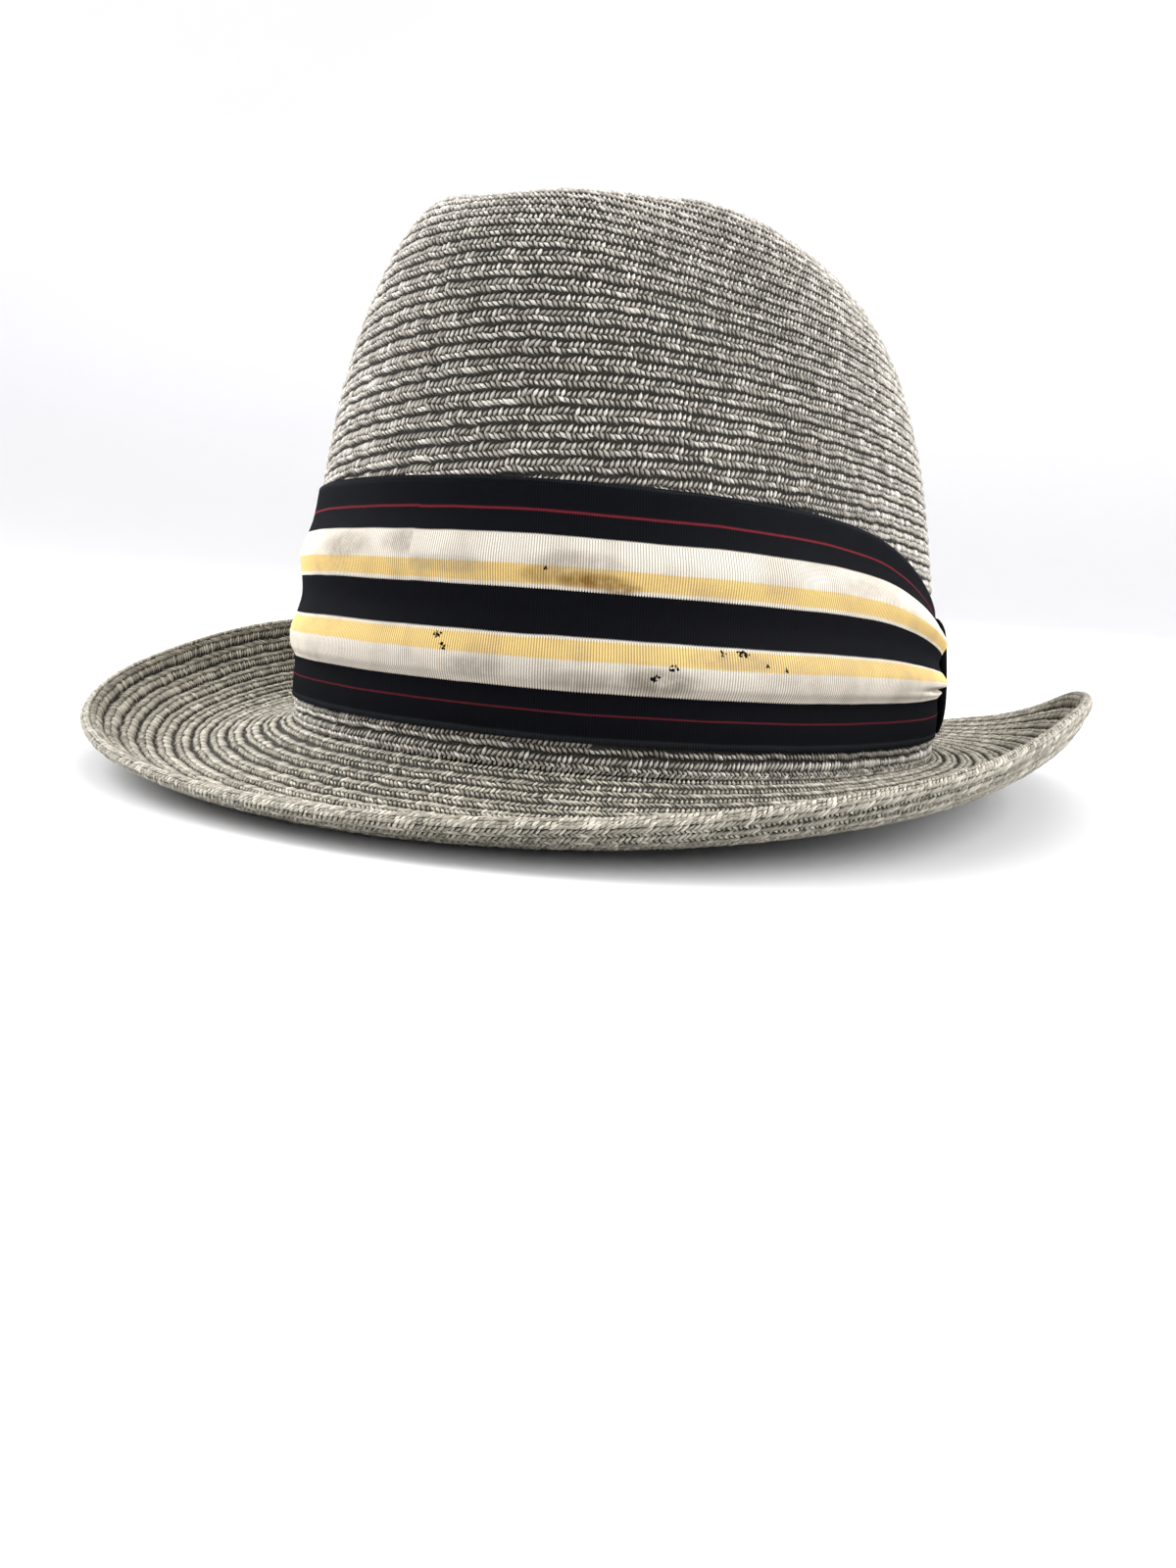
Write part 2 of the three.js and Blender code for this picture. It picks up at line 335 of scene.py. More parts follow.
class NodeSketch:
    """Adds nodes to a tree and links them, so that a finish reads as a list of steps."""

    def __init__(self, tree: bpy.types.NodeTree) -> None:
        """Starts on an empty tree."""
        self.tree = tree
        tree.nodes.clear()

    def add(self, kind: str, inputs: dict | None = None, **settings: object) -> bpy.types.Node:
        """Adds one node.

        Args:
            kind: The node's type.
            inputs: Values or sockets for its inputs, by name, identifier or number.
            **settings: Values for the node's own properties.

        Returns:
            The node.
        """
        node = self.tree.nodes.new(kind)
        for name, value in settings.items():
            setattr(node, name, value)
        for key, value in (inputs or {}).items():
            self.feed(self.socket(node, key), value)
        return node

    @staticmethod
    def socket(node: bpy.types.Node, key: str | int) -> bpy.types.NodeSocket:
        """A node's input by number, identifier or name."""
        if isinstance(key, int):
            return node.inputs[key]
        by_identifier = [socket for socket in node.inputs if socket.identifier == key]
        return by_identifier[0] if by_identifier else node.inputs[key]

    def feed(self, socket: bpy.types.NodeSocket, value: object) -> None:
        """Links a socket to another, or sets its value."""
        if isinstance(value, bpy.types.NodeSocket):
            self.tree.links.new(value, socket)
        elif isinstance(value, tuple) and socket.type == "RGBA":
            socket.default_value = (*value, 1.0)
        else:
            socket.default_value = value

    def math(self, operation: str, *values: object) -> bpy.types.NodeSocket:
        """The result of one sum on numbers or sockets."""
        node = self.add("ShaderNodeMath", dict(enumerate(values)), operation=operation)
        return node.outputs[0]

    def ramp(self, value: object, low: float, high: float) -> bpy.types.NodeSocket:
        """0 below low and 1 above high, smooth between them."""
        limits = {"Value": value, "From Min": low, "From Max": high}
        node = self.add("ShaderNodeMapRange", limits, interpolation_type="SMOOTHSTEP")
        return node.outputs[0]

    def mix(self, factor: object, first: object, second: object, blend: str = "MIX") -> bpy.types.NodeSocket:
        """The first colour where the factor is 0, and the second blended over it where it is 1."""
        inputs = {"Factor_Float": factor, "A_Color": first, "B_Color": second}
        node = self.add("ShaderNodeMix", inputs, data_type="RGBA", blend_type=blend)
        return next(socket for socket in node.outputs if socket.identifier == "Result_Color")

    def noise(self, where: object, scale: float, detail: float = 2.0) -> bpy.types.NodeSocket:
        """Soft noise from 0 to 1, in features of about one over the scale."""
        node = self.add("ShaderNodeTexNoise", {"Vector": where, "Scale": scale, "Detail": detail})
        return node.outputs[0]


def node_group(name: str, kind: str, sockets: Sequence[tuple[str, str, str]]) -> bpy.types.NodeTree:
    """Makes a node group with its sockets.

    Args:
        name: The group's name.
        kind: The tree's type.
        sockets: The sockets as (name, INPUT or OUTPUT, type).

    Returns:
        The empty group.
    """
    tree = bpy.data.node_groups.new(name, kind)
    for socket, direction, socket_kind in sockets:
        tree.interface.new_socket(name=socket, in_out=direction, socket_type=socket_kind)
    return tree


def fibre_tint_group() -> bpy.types.NodeTree:
    """Builds the colour of plaited fibre, which changes from strand to strand and from patch to patch.

    Returns:
        A group with a Shade from 0 to 1 and the fibre's three colours as inputs.
    """
    tree = node_group("fibre_tint", "ShaderNodeTree", [
        ("Shade", "INPUT", "NodeSocketFloat"),
        ("Dark", "INPUT", "NodeSocketColor"),
        ("Middle", "INPUT", "NodeSocketColor"),
        ("Light", "INPUT", "NodeSocketColor"),
        ("Colour", "OUTPUT", "NodeSocketColor"),
        ("Fleck", "OUTPUT", "NodeSocketFloat"),
    ])
    sketch = NodeSketch(tree)
    given = sketch.add("NodeGroupInput").outputs
    where = sketch.add("ShaderNodeTexCoord").outputs["Object"]
    patch = sketch.noise(where, 70)
    fleck = sketch.noise(where, 1100)
    value = sketch.math("MULTIPLY_ADD", patch, 0.3, given["Shade"])
    value = sketch.math("MULTIPLY_ADD", fleck, 0.4, value)
    value = sketch.math("SUBTRACT", value, 0.35)
    lower = sketch.mix(sketch.ramp(value, 0.0, 0.55), given["Dark"], given["Middle"])
    colour = sketch.mix(sketch.ramp(value, 0.5, 1.05), lower, given["Light"])
    sketch.add("NodeGroupOutput", {"Colour": colour, "Fleck": fleck})
    return tree


def rib_weave_group() -> bpy.types.NodeTree:
    """Builds the ribs of a ribbed ribbon, which run across it.

    Returns:
        A group that reads the UV map in metres and puts out the place on the ribbon, the ribs' height, a
        thread pattern along them and how far the stripes drift, the last three from 0 to 1.
    """
    tree = node_group("rib_weave", "ShaderNodeTree", [
        ("Pitch", "INPUT", "NodeSocketFloat"),
        ("Along", "OUTPUT", "NodeSocketFloat"),
        ("Up", "OUTPUT", "NodeSocketFloat"),
        ("Rib", "OUTPUT", "NodeSocketFloat"),
        ("Thread", "OUTPUT", "NodeSocketFloat"),
        ("Drift", "OUTPUT", "NodeSocketFloat"),
    ])
    sketch = NodeSketch(tree)
    pitch = sketch.add("NodeGroupInput").outputs["Pitch"]
    uv = sketch.add("ShaderNodeUVMap", uv_map="weave").outputs[0]
    parts = sketch.add("ShaderNodeSeparateXYZ", {0: uv}).outputs
    turns = sketch.math("MULTIPLY", sketch.math("DIVIDE", parts["X"], pitch), FULL_TURN)
    rib = sketch.math("MULTIPLY_ADD", sketch.math("COSINE", turns), 0.5, 0.5)
    thread = sketch.noise(uv, 3200, 1.0)
    drift = sketch.noise(uv, 35)
    outputs = {"Along": parts["X"], "Up": parts["Y"], "Rib": rib, "Thread": thread, "Drift": drift}
    sketch.add("NodeGroupOutput", outputs)
    return tree


class Groups:
    """The shader groups that more than one finish uses, each built once."""

    _built: dict[str, bpy.types.NodeTree] = {}

    @classmethod
    def get(cls, build: Callable[[], bpy.types.NodeTree]) -> bpy.types.NodeTree:
        """The group that a function builds, built the first time it is asked for."""
        if build.__name__ not in cls._built:
            cls._built[build.__name__] = build()
        return cls._built[build.__name__]


def fibre_tint(
    sketch: NodeSketch, shade: object, finish: "StrandFinish | PaintedShadeBedFinish | BackFinish"
) -> bpy.types.Node:
    """Adds the fibre's tint to a material, by its shade and its finish's three colours."""
    inputs = {"Shade": shade, "Dark": finish.dark, "Middle": finish.middle, "Light": finish.light}
    return sketch.add("ShaderNodeGroup", inputs, node_tree=Groups.get(fibre_tint_group))


def new_material(name: str) -> tuple[bpy.types.Material, NodeSketch]:
    """A new node material and the sketch that its nodes are added to."""
    material = bpy.data.materials.new(name)
    material.use_nodes = True
    return material, NodeSketch(material.node_tree)


@dataclass(frozen=True)
class StrandFinish:
    """The plaited strands: taupe fibre, each strand a little lighter or darker than the next."""

    name: str = "plaited_strand"
    dark: Colour = (0.19, 0.173, 0.146)
    middle: Colour = (0.43, 0.40, 0.35)
    light: Colour = (0.77, 0.735, 0.665)
    roughness: float = 0.42

    def material(self) -> bpy.types.Material:
        """Builds the material, which reads each strand's shade."""
        material, sketch = new_material(self.name)
        shade = sketch.add("ShaderNodeAttribute", attribute_name="shade").outputs["Fac"]
        tint = fibre_tint(sketch, shade, self)
        bump = sketch.add(
            "ShaderNodeBump", {"Height": tint.outputs["Fleck"], "Strength": 0.35, "Distance": 0.2 * MM}
        )
        shader = sketch.add("ShaderNodeBsdfPrincipled", {
            "Base Color": tint.outputs["Colour"],
            "Roughness": self.roughness,
            "Specular IOR Level": 0.4,
            "Normal": bump.outputs[0],
        })
        sketch.add("ShaderNodeOutputMaterial", {"Surface": shader.outputs[0]})
        return material


# The brim's strands: a yellower taupe than the crown's, and darker all over as painted shade.
BRIM_STRAND_YELLOWER_AND_SHADED = StrandFinish(
    name="plaited_brim_strand_shaded",
    dark=(0.15, 0.138, 0.108),
    middle=(0.36, 0.335, 0.272),
    light=(0.68, 0.64, 0.545),
)


@dataclass(frozen=True)
class PaintedShadeBedFinish:
    """The bed of the braid, deep between its strands, coloured near black as painted shade between them."""

    name: str = "braid_bed_painted_shade"
    # Near-black colours: painted shade for the shadow between the strands.
    dark: Colour = (0.012, 0.011, 0.009)
    middle: Colour = (0.035, 0.032, 0.026)
    light: Colour = (0.08, 0.073, 0.062)
    shade: float = 0.35
    roughness: float = 0.85

    def material(self) -> bpy.types.Material:
        """Builds the material."""
        material, sketch = new_material(self.name)
        tint = fibre_tint(sketch, self.shade, self)
        bump = sketch.add(
            "ShaderNodeBump", {"Height": tint.outputs["Fleck"], "Strength": 0.6, "Distance": 0.3 * MM}
        )
        shader = sketch.add("ShaderNodeBsdfPrincipled", {
            "Base Color": tint.outputs["Colour"],
            "Roughness": self.roughness,
            "Normal": bump.outputs[0],
        })
        sketch.add("ShaderNodeOutputMaterial", {"Surface": shader.outputs[0]})
        return material


@dataclass(frozen=True)
class BackFinish:
    """The back of the braid inside the crown, where rows and stitches show as soft bands, darker between rows
    as painted shade.
    """

    name: str = "braid_back"
    dark: Colour = (0.10, 0.09, 0.075)
    middle: Colour = (0.25, 0.23, 0.195)
    light: Colour = (0.42, 0.39, 0.34)
    row: float = 4.1 * MM
    stitch: float = 1.2 * MM

    def material(self) -> bpy.types.Material:
        """Builds the material."""
        material, sketch = new_material(self.name)
        where = sketch.add("ShaderNodeTexCoord").outputs["Object"]
        height = sketch.add("ShaderNodeSeparateXYZ", {0: where}).outputs["Z"]
        # The row bands are painted shade: the colour darkens once in each row, as at the seams between rows;
        # the stitch noise is a random tone.
        turns = sketch.math("MULTIPLY", height, FULL_TURN / self.row)
        row = sketch.math("MULTIPLY_ADD", sketch.math("COSINE", turns), 0.5, 0.5)
        stitch = sketch.noise(where, 1 / self.stitch, 1.0)
        shade = sketch.math("MULTIPLY", sketch.math("ADD", row, stitch), 0.5)
        tint = fibre_tint(sketch, shade, self)
        bump = sketch.add("ShaderNodeBump", {"Height": shade, "Strength": 0.8, "Distance": 0.8 * MM})
        shader = sketch.add("ShaderNodeBsdfPrincipled", {
            "Base Color": tint.outputs["Colour"],
            "Roughness": 0.8,
            "Normal": bump.outputs[0],
        })
        sketch.add("ShaderNodeOutputMaterial", {"Surface": shader.outputs[0]})
        return material


@dataclass(frozen=True)
class Stripe:
    """One stripe of the ribbon, from its lower edge as a share of the ribbon's width."""

    start: float
    colour: Colour


BLACK: Colour = (0.0045, 0.005, 0.007)
# Both edges of the ribbon are grey: a worn selvage, lightened as a painted highlight where the edge curls
# outward.
EDGE_WEAR_AND_HIGHLIGHT: Colour = (0.022, 0.024, 0.028)
WHITE: Colour = (0.80, 0.735, 0.635)
YELLOW: Colour = (0.84, 0.60, 0.235)
RED: Colour = (0.19, 0.02, 0.03)


class MarkKind(Enum):
    """The kinds of mark on the ribbon, each with the colour that it leaves."""

    MOTH = (0.006, 0.005, 0.004)
    # A brown smudge low on the upper yellow stripe, which also paints the shade of a shallow crease there.
    SMUDGE_AND_CREASE_SHADE = (0.27, 0.145, 0.035)
    GRIME = (0.29, 0.255, 0.20)


@dataclass(frozen=True)
class Mark:
    """A mark on the ribbon, at an azimuth in degrees and a share of the ribbon's width up it.

    Its reach each way is in metres, and its strength goes from 0 to 1.
    """

    kind: MarkKind
    azimuth: float
    up: float
    along_reach: float
    up_reach: float
    strength: float = 1.0


RIBBON_MARKS = (
    Mark(MarkKind.MOTH, 6.2, 0.388, 1.7 * MM, 1.2 * MM),
    Mark(MarkKind.MOTH, 7.5, 0.344, 1.7 * MM, 1.2 * MM),
    Mark(MarkKind.MOTH, 22.6, 0.671, 0.7 * MM, 0.6 * MM),
    Mark(MarkKind.MOTH, 38.6, 0.280, 1.9 * MM, 1.1 * MM),
    Mark(MarkKind.MOTH, 41.2, 0.325, 2.0 * MM, 1.1 * MM, 0.9),
    Mark(MarkKind.MOTH, 48.3, 0.395, 1.6 * MM, 0.9 * MM, 0.8),
    Mark(MarkKind.MOTH, 51.4, 0.397, 2.4 * MM, 1.1 * MM),
    Mark(MarkKind.MOTH, 55.1, 0.350, 1.2 * MM, 0.9 * MM, 0.8),
    Mark(MarkKind.MOTH, 58.1, 0.338, 1.2 * MM, 1.0 * MM, 0.9),
    Mark(MarkKind.SMUDGE_AND_CREASE_SHADE, 22.0, 0.645, 7 * MM, 2.2 * MM, 0.55),
    Mark(MarkKind.SMUDGE_AND_CREASE_SHADE, 29.0, 0.635, 12 * MM, 2.1 * MM, 0.95),
    Mark(MarkKind.SMUDGE_AND_CREASE_SHADE, 33.5, 0.615, 6 * MM, 1.6 * MM, 1.0),
    Mark(MarkKind.GRIME, -1.0, 0.745, 11 * MM, 3.2 * MM, 0.65),
    Mark(MarkKind.GRIME, -15.5, 0.725, 14 * MM, 3.6 * MM, 0.6),
    Mark(MarkKind.GRIME, 5.0, 0.665, 20 * MM, 2.2 * MM, 0.4),
    Mark(MarkKind.GRIME, 27.0, 0.70, 14 * MM, 3.0 * MM, 0.5),
    Mark(MarkKind.GRIME, 12.0, 0.27, 10 * MM, 2.8 * MM, 0.5),
    Mark(MarkKind.GRIME, 29.0, 0.25, 13 * MM, 2.8 * MM, 0.5),
    Mark(MarkKind.GRIME, 39.0, 0.265, 12 * MM, 3.4 * MM, 0.85),
    Mark(MarkKind.GRIME, 50.0, 0.365, 14 * MM, 2.6 * MM, 0.5),
    Mark(MarkKind.GRIME, 74.0, 0.725, 9 * MM, 2.4 * MM, 0.3),
    Mark(MarkKind.GRIME, 163.0, 0.27, 14 * MM, 2.8 * MM, 0.35),
    Mark(MarkKind.GRIME, 214.0, 0.73, 18 * MM, 2.8 * MM, 0.35),
    Mark(MarkKind.GRIME, 268.0, 0.26, 16 * MM, 2.8 * MM, 0.35),
)


def spot_group() -> bpy.types.NodeTree:
    """Builds one soft oval spot on the ribbon.

    Returns:
        A group that reads a place on the ribbon and puts out the spot's strength there, 0 past its reach.
    """
    numbers = ("Along", "Up", "Middle Along", "Middle Up", "Along Reach", "Up Reach", "Strength")
    sockets = [(name, "INPUT", "NodeSocketFloat") for name in numbers]
    tree = node_group("spot", "ShaderNodeTree", [*sockets, ("Spot", "OUTPUT", "NodeSocketFloat")])
    sketch = NodeSketch(tree)
    given = sketch.add("NodeGroupInput").outputs
    squares = []
    for way in ("Along", "Up"):
        away = sketch.math("SUBTRACT", given[way], given[f"Middle {way}"])
        squares.append(sketch.math("POWER", sketch.math("DIVIDE", away, given[f"{way} Reach"]), 2.0))
    inside = sketch.math("SUBTRACT", 1.0, sketch.math("ADD", *squares))
    spot = sketch.math("MULTIPLY", sketch.ramp(inside, 0.0, 1.0), given["Strength"])
    sketch.add("NodeGroupOutput", {"Spot": spot})
    return tree


@dataclass(frozen=True)
class RibbonFinish:
    """The ribbon's woven stripes, with their grime and wear, and painted shade in the valleys between the
    ribs.
    """

    name: str = "striped_ribbon"
    pitch: float = 0.66 * MM
    width: float = 51.7 * MM
    tooth: float = 0.3 * MM
    drift: float = 0.7 * MM
    roughness: float = 0.65
    specular: float = 0.03
    marks: tuple[Mark, ...] = RIBBON_MARKS
    stripes: tuple[Stripe, ...] = (
        Stripe(0.0, EDGE_WEAR_AND_HIGHLIGHT),
        Stripe(0.028, BLACK),
        Stripe(0.118, RED),
        Stripe(0.1235, BLACK),
        Stripe(0.210, WHITE),
        Stripe(0.330, YELLOW),
        Stripe(0.409, WHITE),
        Stripe(0.421, BLACK),
        Stripe(0.595, WHITE),
        Stripe(0.610, YELLOW),
        Stripe(0.683, WHITE),
        Stripe(0.795, BLACK),
        Stripe(0.882, RED),
        Stripe(0.8875, BLACK),
        Stripe(0.991, EDGE_WEAR_AND_HIGHLIGHT),
    )

    def material(self, length: float) -> bpy.types.Material:
        """Builds the material.

        Args:
            length: How long the ribbon is round the crown, which places its marks.

        Returns:
            The material.
        """
        material, sketch = new_material(self.name)
        weave = sketch.add("ShaderNodeGroup", {"Pitch": self.pitch}, node_tree=Groups.get(rib_weave_group))
        rib, thread, drift = (weave.outputs[name] for name in ("Rib", "Thread", "Drift"))
        toothed = sketch.math("MULTIPLY_ADD", rib, self.tooth, weave.outputs["Up"])
        toothed = sketch.math("MULTIPLY_ADD", drift, self.drift, toothed)
        share = sketch.math("DIVIDE", sketch.math("SUBTRACT", toothed, self.drift / 2), self.width)
        stained_and_shaded = self._stain_and_shade(sketch, weave, self._stripes(sketch, share), length)
        # Painted shade in the rib valleys: the colour is darkest where the ribs dip and lightest on their
        # crests.
        crest = sketch.math("MULTIPLY_ADD", rib, 0.66, 0.43)
        threads = sketch.math("MULTIPLY_ADD", thread, 0.5, 0.75)
        shaded = sketch.add("ShaderNodeVectorMath", {
            0: stained_and_shaded, "Scale": sketch.math("MULTIPLY", crest, threads),
        }, operation="SCALE")
        bump = sketch.add("ShaderNodeBump", {"Height": thread, "Strength": 0.3, "Distance": 0.1 * MM})
        shader = sketch.add("ShaderNodeBsdfPrincipled", {
            "Base Color": shaded.outputs[0],
            "Roughness": self.roughness,
            "Specular IOR Level": self.specular,
            "Normal": bump.outputs[0],
        })
        sketch.add("ShaderNodeOutputMaterial", {"Surface": shader.outputs[0]})
        return material

    def _stripes(self, sketch: NodeSketch, share: bpy.types.NodeSocket) -> bpy.types.NodeSocket:
        """The woven stripes, by a place's share of the ribbon's width."""
        band = sketch.add("ShaderNodeValToRGB", {"Fac": share})
        band.color_ramp.interpolation = "CONSTANT"
        stops = band.color_ramp.elements
        stops[0].position, stops[0].color = 0.0, (*self.stripes[0].colour, 1)
        stops.remove(stops[1])
        for stripe in self.stripes[1:]:
            stops.new(stripe.start).color = (*stripe.colour, 1)
        return band.outputs[0]

    def _stain_and_shade(
        self, sketch: NodeSketch, weave: bpy.types.Node, clean: bpy.types.NodeSocket, length: float
    ) -> bpy.types.NodeSocket:
        """Lays age and marks over the clean stripes, among them the painted shade of a shallow crease.

        Args:
            sketch: The material's sketch.
            weave: The rib weave node.
            clean: The stripes' colour.
            length: How long the ribbon is.

        Returns:
            The stained and shaded colour.
        """
        along, up = weave.outputs["Along"], weave.outputs["Up"]
        where = sketch.add("ShaderNodeCombineXYZ", {"X": along, "Y": up}).outputs[0]
        cloud = sketch.noise(where, 90, 4)
        smear = sketch.noise(where, 330, 3)
        speckle = sketch.noise(where, 1500, 1)
        age = sketch.math("MULTIPLY", sketch.ramp(cloud, 0.42, 0.7), 0.3)
        colour = sketch.mix(age, clean, MarkKind.GRIME.value, "DARKEN")
        for kind in (MarkKind.GRIME, MarkKind.SMUDGE_AND_CREASE_SHADE, MarkKind.MOTH):
            cover: bpy.types.NodeSocket | float = 0.0
            for mark in (mark for mark in self.marks if mark.kind is kind):
                spot = sketch.add("ShaderNodeGroup", {
                    "Along": along,
                    "Up": up,
                    "Middle Along": mark.azimuth % 360 / 360 * length,
                    "Middle Up": mark.up * self.width,
                    "Along Reach": mark.along_reach,
                    "Up Reach": mark.up_reach,
                    "Strength": mark.strength,
                }, node_tree=Groups.get(spot_group))
                cover = sketch.math("MAXIMUM", cover, spot.outputs[0])
            if kind is MarkKind.MOTH:
                eaten = sketch.math("MULTIPLY", speckle, sketch.ramp(cover, 0.0, 0.2))
                cover = sketch.ramp(sketch.math("MULTIPLY_ADD", cover, 0.3, eaten), 0.7, 0.76)
            else:
                cover = sketch.math("MULTIPLY", cover, sketch.ramp(smear, 0.1, 0.65))
            colour = sketch.mix(cover, colour, kind.value, "DARKEN")
        return colour


@dataclass(frozen=True)
class PlainRibbonFinish:
    """The keeper's plain black ribbon, with painted shade in the valleys between its ribs."""

    name: str = "black_ribbon"
    pitch: float = 0.66 * MM

    def material(self) -> bpy.types.Material:
        """Builds the material."""
        material, sketch = new_material(self.name)
        weave = sketch.add("ShaderNodeGroup", {"Pitch": self.pitch}, node_tree=Groups.get(rib_weave_group))
        # Painted shade in the rib valleys: the black is darker still where the ribs dip.
        colour = sketch.mix(weave.outputs["Rib"], tuple(0.4 * part for part in BLACK), BLACK)
        bump = sketch.add(
            "ShaderNodeBump", {"Height": weave.outputs["Rib"], "Strength": 0.6, "Distance": 0.15 * MM}
        )
        shader = sketch.add("ShaderNodeBsdfPrincipled", {
            "Base Color": colour, "Roughness": 0.65, "Specular IOR Level": 0.03, "Normal": bump.outputs[0],
        })
        sketch.add("ShaderNodeOutputMaterial", {"Surface": shader.outputs[0]})
        return material


@dataclass(frozen=True)
class BackdropFinish:
    """A seamless pale backdrop with a faint paper grain, a little greyer where it is the floor."""

    name: str = "pale_backdrop"
    floor: Colour = (0.70, 0.70, 0.705)
    wall: Colour = (0.90, 0.895, 0.915)

    def material(self) -> bpy.types.Material:
        """Builds the material."""
        material, sketch = new_material(self.name)
        where = sketch.add("ShaderNodeTexCoord").outputs["Object"]
        height = sketch.add("ShaderNodeSeparateXYZ", {0: where}).outputs["Z"]
        grain = sketch.math("MULTIPLY_ADD", sketch.noise(where, 40, 3), 0.04, sketch.ramp(height, 0.0, 0.6))
        colour = sketch.mix(grain, self.floor, self.wall)
        shader = sketch.add("ShaderNodeBsdfPrincipled", {"Base Color": colour, "Roughness": 0.9})
        sketch.add("ShaderNodeOutputMaterial", {"Surface": shader.outputs[0]})
        return material


def add_object(name: str, mesh: bpy.types.Mesh) -> bpy.types.Object:
    """Puts a mesh into the scene as an object at the origin."""
    piece = bpy.data.objects.new(name, mesh)
    bpy.context.scene.collection.objects.link(piece)
    return piece


def mesh_from_rings(
    name: str, rings: Array, poles: Array | None = None, loop: bool = False
) -> bpy.types.Mesh:
    """Makes a closed mesh through rings of points.

    Args:
        name: The mesh's name.
        rings: Points as rings, points round each ring, and coordinates.
        poles: Two points that close the first and the last ring, if the rings don't close on themselves.
        loop: True where the last ring joins the first.

    Returns:
        The mesh, with quads between the rings.
    """
    count, around = rings.shape[:2]
    last = count if loop else count - 1
    ring = np.arange(last)[:, None] * around
    following = ((np.arange(last) + 1) % count)[:, None] * around
    here = np.arange(around)[None, :]
    beside = (here + 1) % around
    quads = np.stack([ring + here, ring + beside, following + beside, following + here], axis=-1)
    faces = quads.reshape(-1, 4).tolist()
    points = rings.reshape(-1, 3)
    if poles is not None:
        start, end = len(points), len(points) + 1
        top = (count - 1) * around
        points = np.concatenate([points, poles])
        for i in range(around):
            j = (i + 1) % around
            faces.append((start, j, i))
            faces.append((end, top + i, top + j))
    mesh = bpy.data.meshes.new(name)
    mesh.from_pydata(points.tolist(), [], faces)
    mesh.shade_smooth()
    mesh.update()
    return mesh


class StrandLine(Enum):
    """The lines of strands: two in each row, which slant away from each other, and one over the break."""

    UPPER = "upper"
    LOWER = "lower"
    BREAK = "break"


@dataclass(frozen=True)
class LineStyle:
    """How a line of strands lies in its row.

    Across is the middle of the strands as a share of the row's width from its lower edge, and reach their
    length as a share of it. Slant turns them along the row and lean tips them up, in degrees.
    """

    across: float
    reach: float
    slant: float
    lean: float


LINE_STYLES = {
    StrandLine.UPPER: LineStyle(across=0.69, reach=0.58, slant=32, lean=9),
    StrandLine.LOWER: LineStyle(across=0.27, reach=0.46, slant=-44, lean=-16),
    StrandLine.BREAK: LineStyle(across=0.04, reach=0.6, slant=34, lean=-42),
}
ROW_LINES = (StrandLine.UPPER, StrandLine.LOWER)


@dataclass(frozen=True)
class RowPoint:
    """One point of a row's cross-section: how far across the row, and how far it stands off the wall."""

    across: float
    stand_off: float


@dataclass(frozen=True)
class Plait:
    """The plait that the hat is sewn from: its row, its strands and how unevenly they are laid.

    Lift is how far the strands stand off the bed. Cover scales their length, and falls by cover_fall with
    each row. Stray scales how far the seams stray, and lean how far the strands tip.
    """

    row: float = 3.5 * MM
    stitch: float = 1.22 * MM
    strand_width: float = 0.92 * MM
    strand_height: float = 0.62 * MM
    lift: float = 0.2 * MM
    cover: float = 1.0
    cover_fall: float = 0.0
    stray: float = 1.0
    lean: float = 1.0
    section: tuple[RowPoint, ...] = (
        RowPoint(0.0, -0.75 * MM),
        RowPoint(0.09, -0.1 * MM),
        RowPoint(0.42, 0.12 * MM),
        RowPoint(0.9, -0.35 * MM),
    )

    def stand_off(self, across: float) -> float:
        """How far the row's bed stands off the wall at a share of its width."""
        shares = [point.across for point in self.section] + [1.0]
        heights = [point.stand_off for point in self.section] + [self.section[0].stand_off]
        return float(np.interp(across, shares, heights))


BRIM_PLAIT = Plait(
    stitch=1.16 * MM,
    strand_width=0.9 * MM,
    strand_height=0.55 * MM,
    cover=1.14,
    cover_fall=0.026,
    stray=0.7,
    lean=0.5,
    section=(
        RowPoint(0.0, -0.8 * MM),
        RowPoint(0.1, -0.1 * MM),
        RowPoint(0.5, 0.03 * MM),
        RowPoint(0.9, -0.15 * MM),
    ),
)


@dataclass(frozen=True)
class Wave:
    """One wave in the seam between two rows: how often it goes round, and its height in rows."""

    turns: int
    height: float


class RowStray:
    """How the seams between rows stray, each seam in its own way."""

    waves = (Wave(5, 0.03), Wave(17, 0.03), Wave(37, 0.03), Wave(59, 0.035), Wave(76, 0.03))
    settled = 1.2

    def __init__(self, rows: int, seed: int) -> None:
        """Draws each seam's phases."""
        self.rows = rows
        self.phases = np.random.default_rng(seed).uniform(0, FULL_TURN, (rows + 2, len(self.waves)))

    def seam(self, azimuth: Array, number: Array) -> Array:
        """How far one seam strays, in rows."""
        phases = self.phases[np.clip(number, 0, self.rows + 1)]
        return sum(wave.height * np.sin(wave.turns * azimuth + phases[..., i])
                   for i, wave in enumerate(self.waves))

    def at(self, azimuth: Array, row: Array) -> Array:
        """How far a place strays, in rows: as the seams below and above it do, and not at the ends."""
        below = np.floor(row).astype(int)
        share = row - below
        stray = (1 - share) * self.seam(azimuth, below) + share * self.seam(azimuth, below + 1)
        return stray * smooth_step(row, 0, self.settled) * smooth_step(self.rows - row, 0, self.settled)


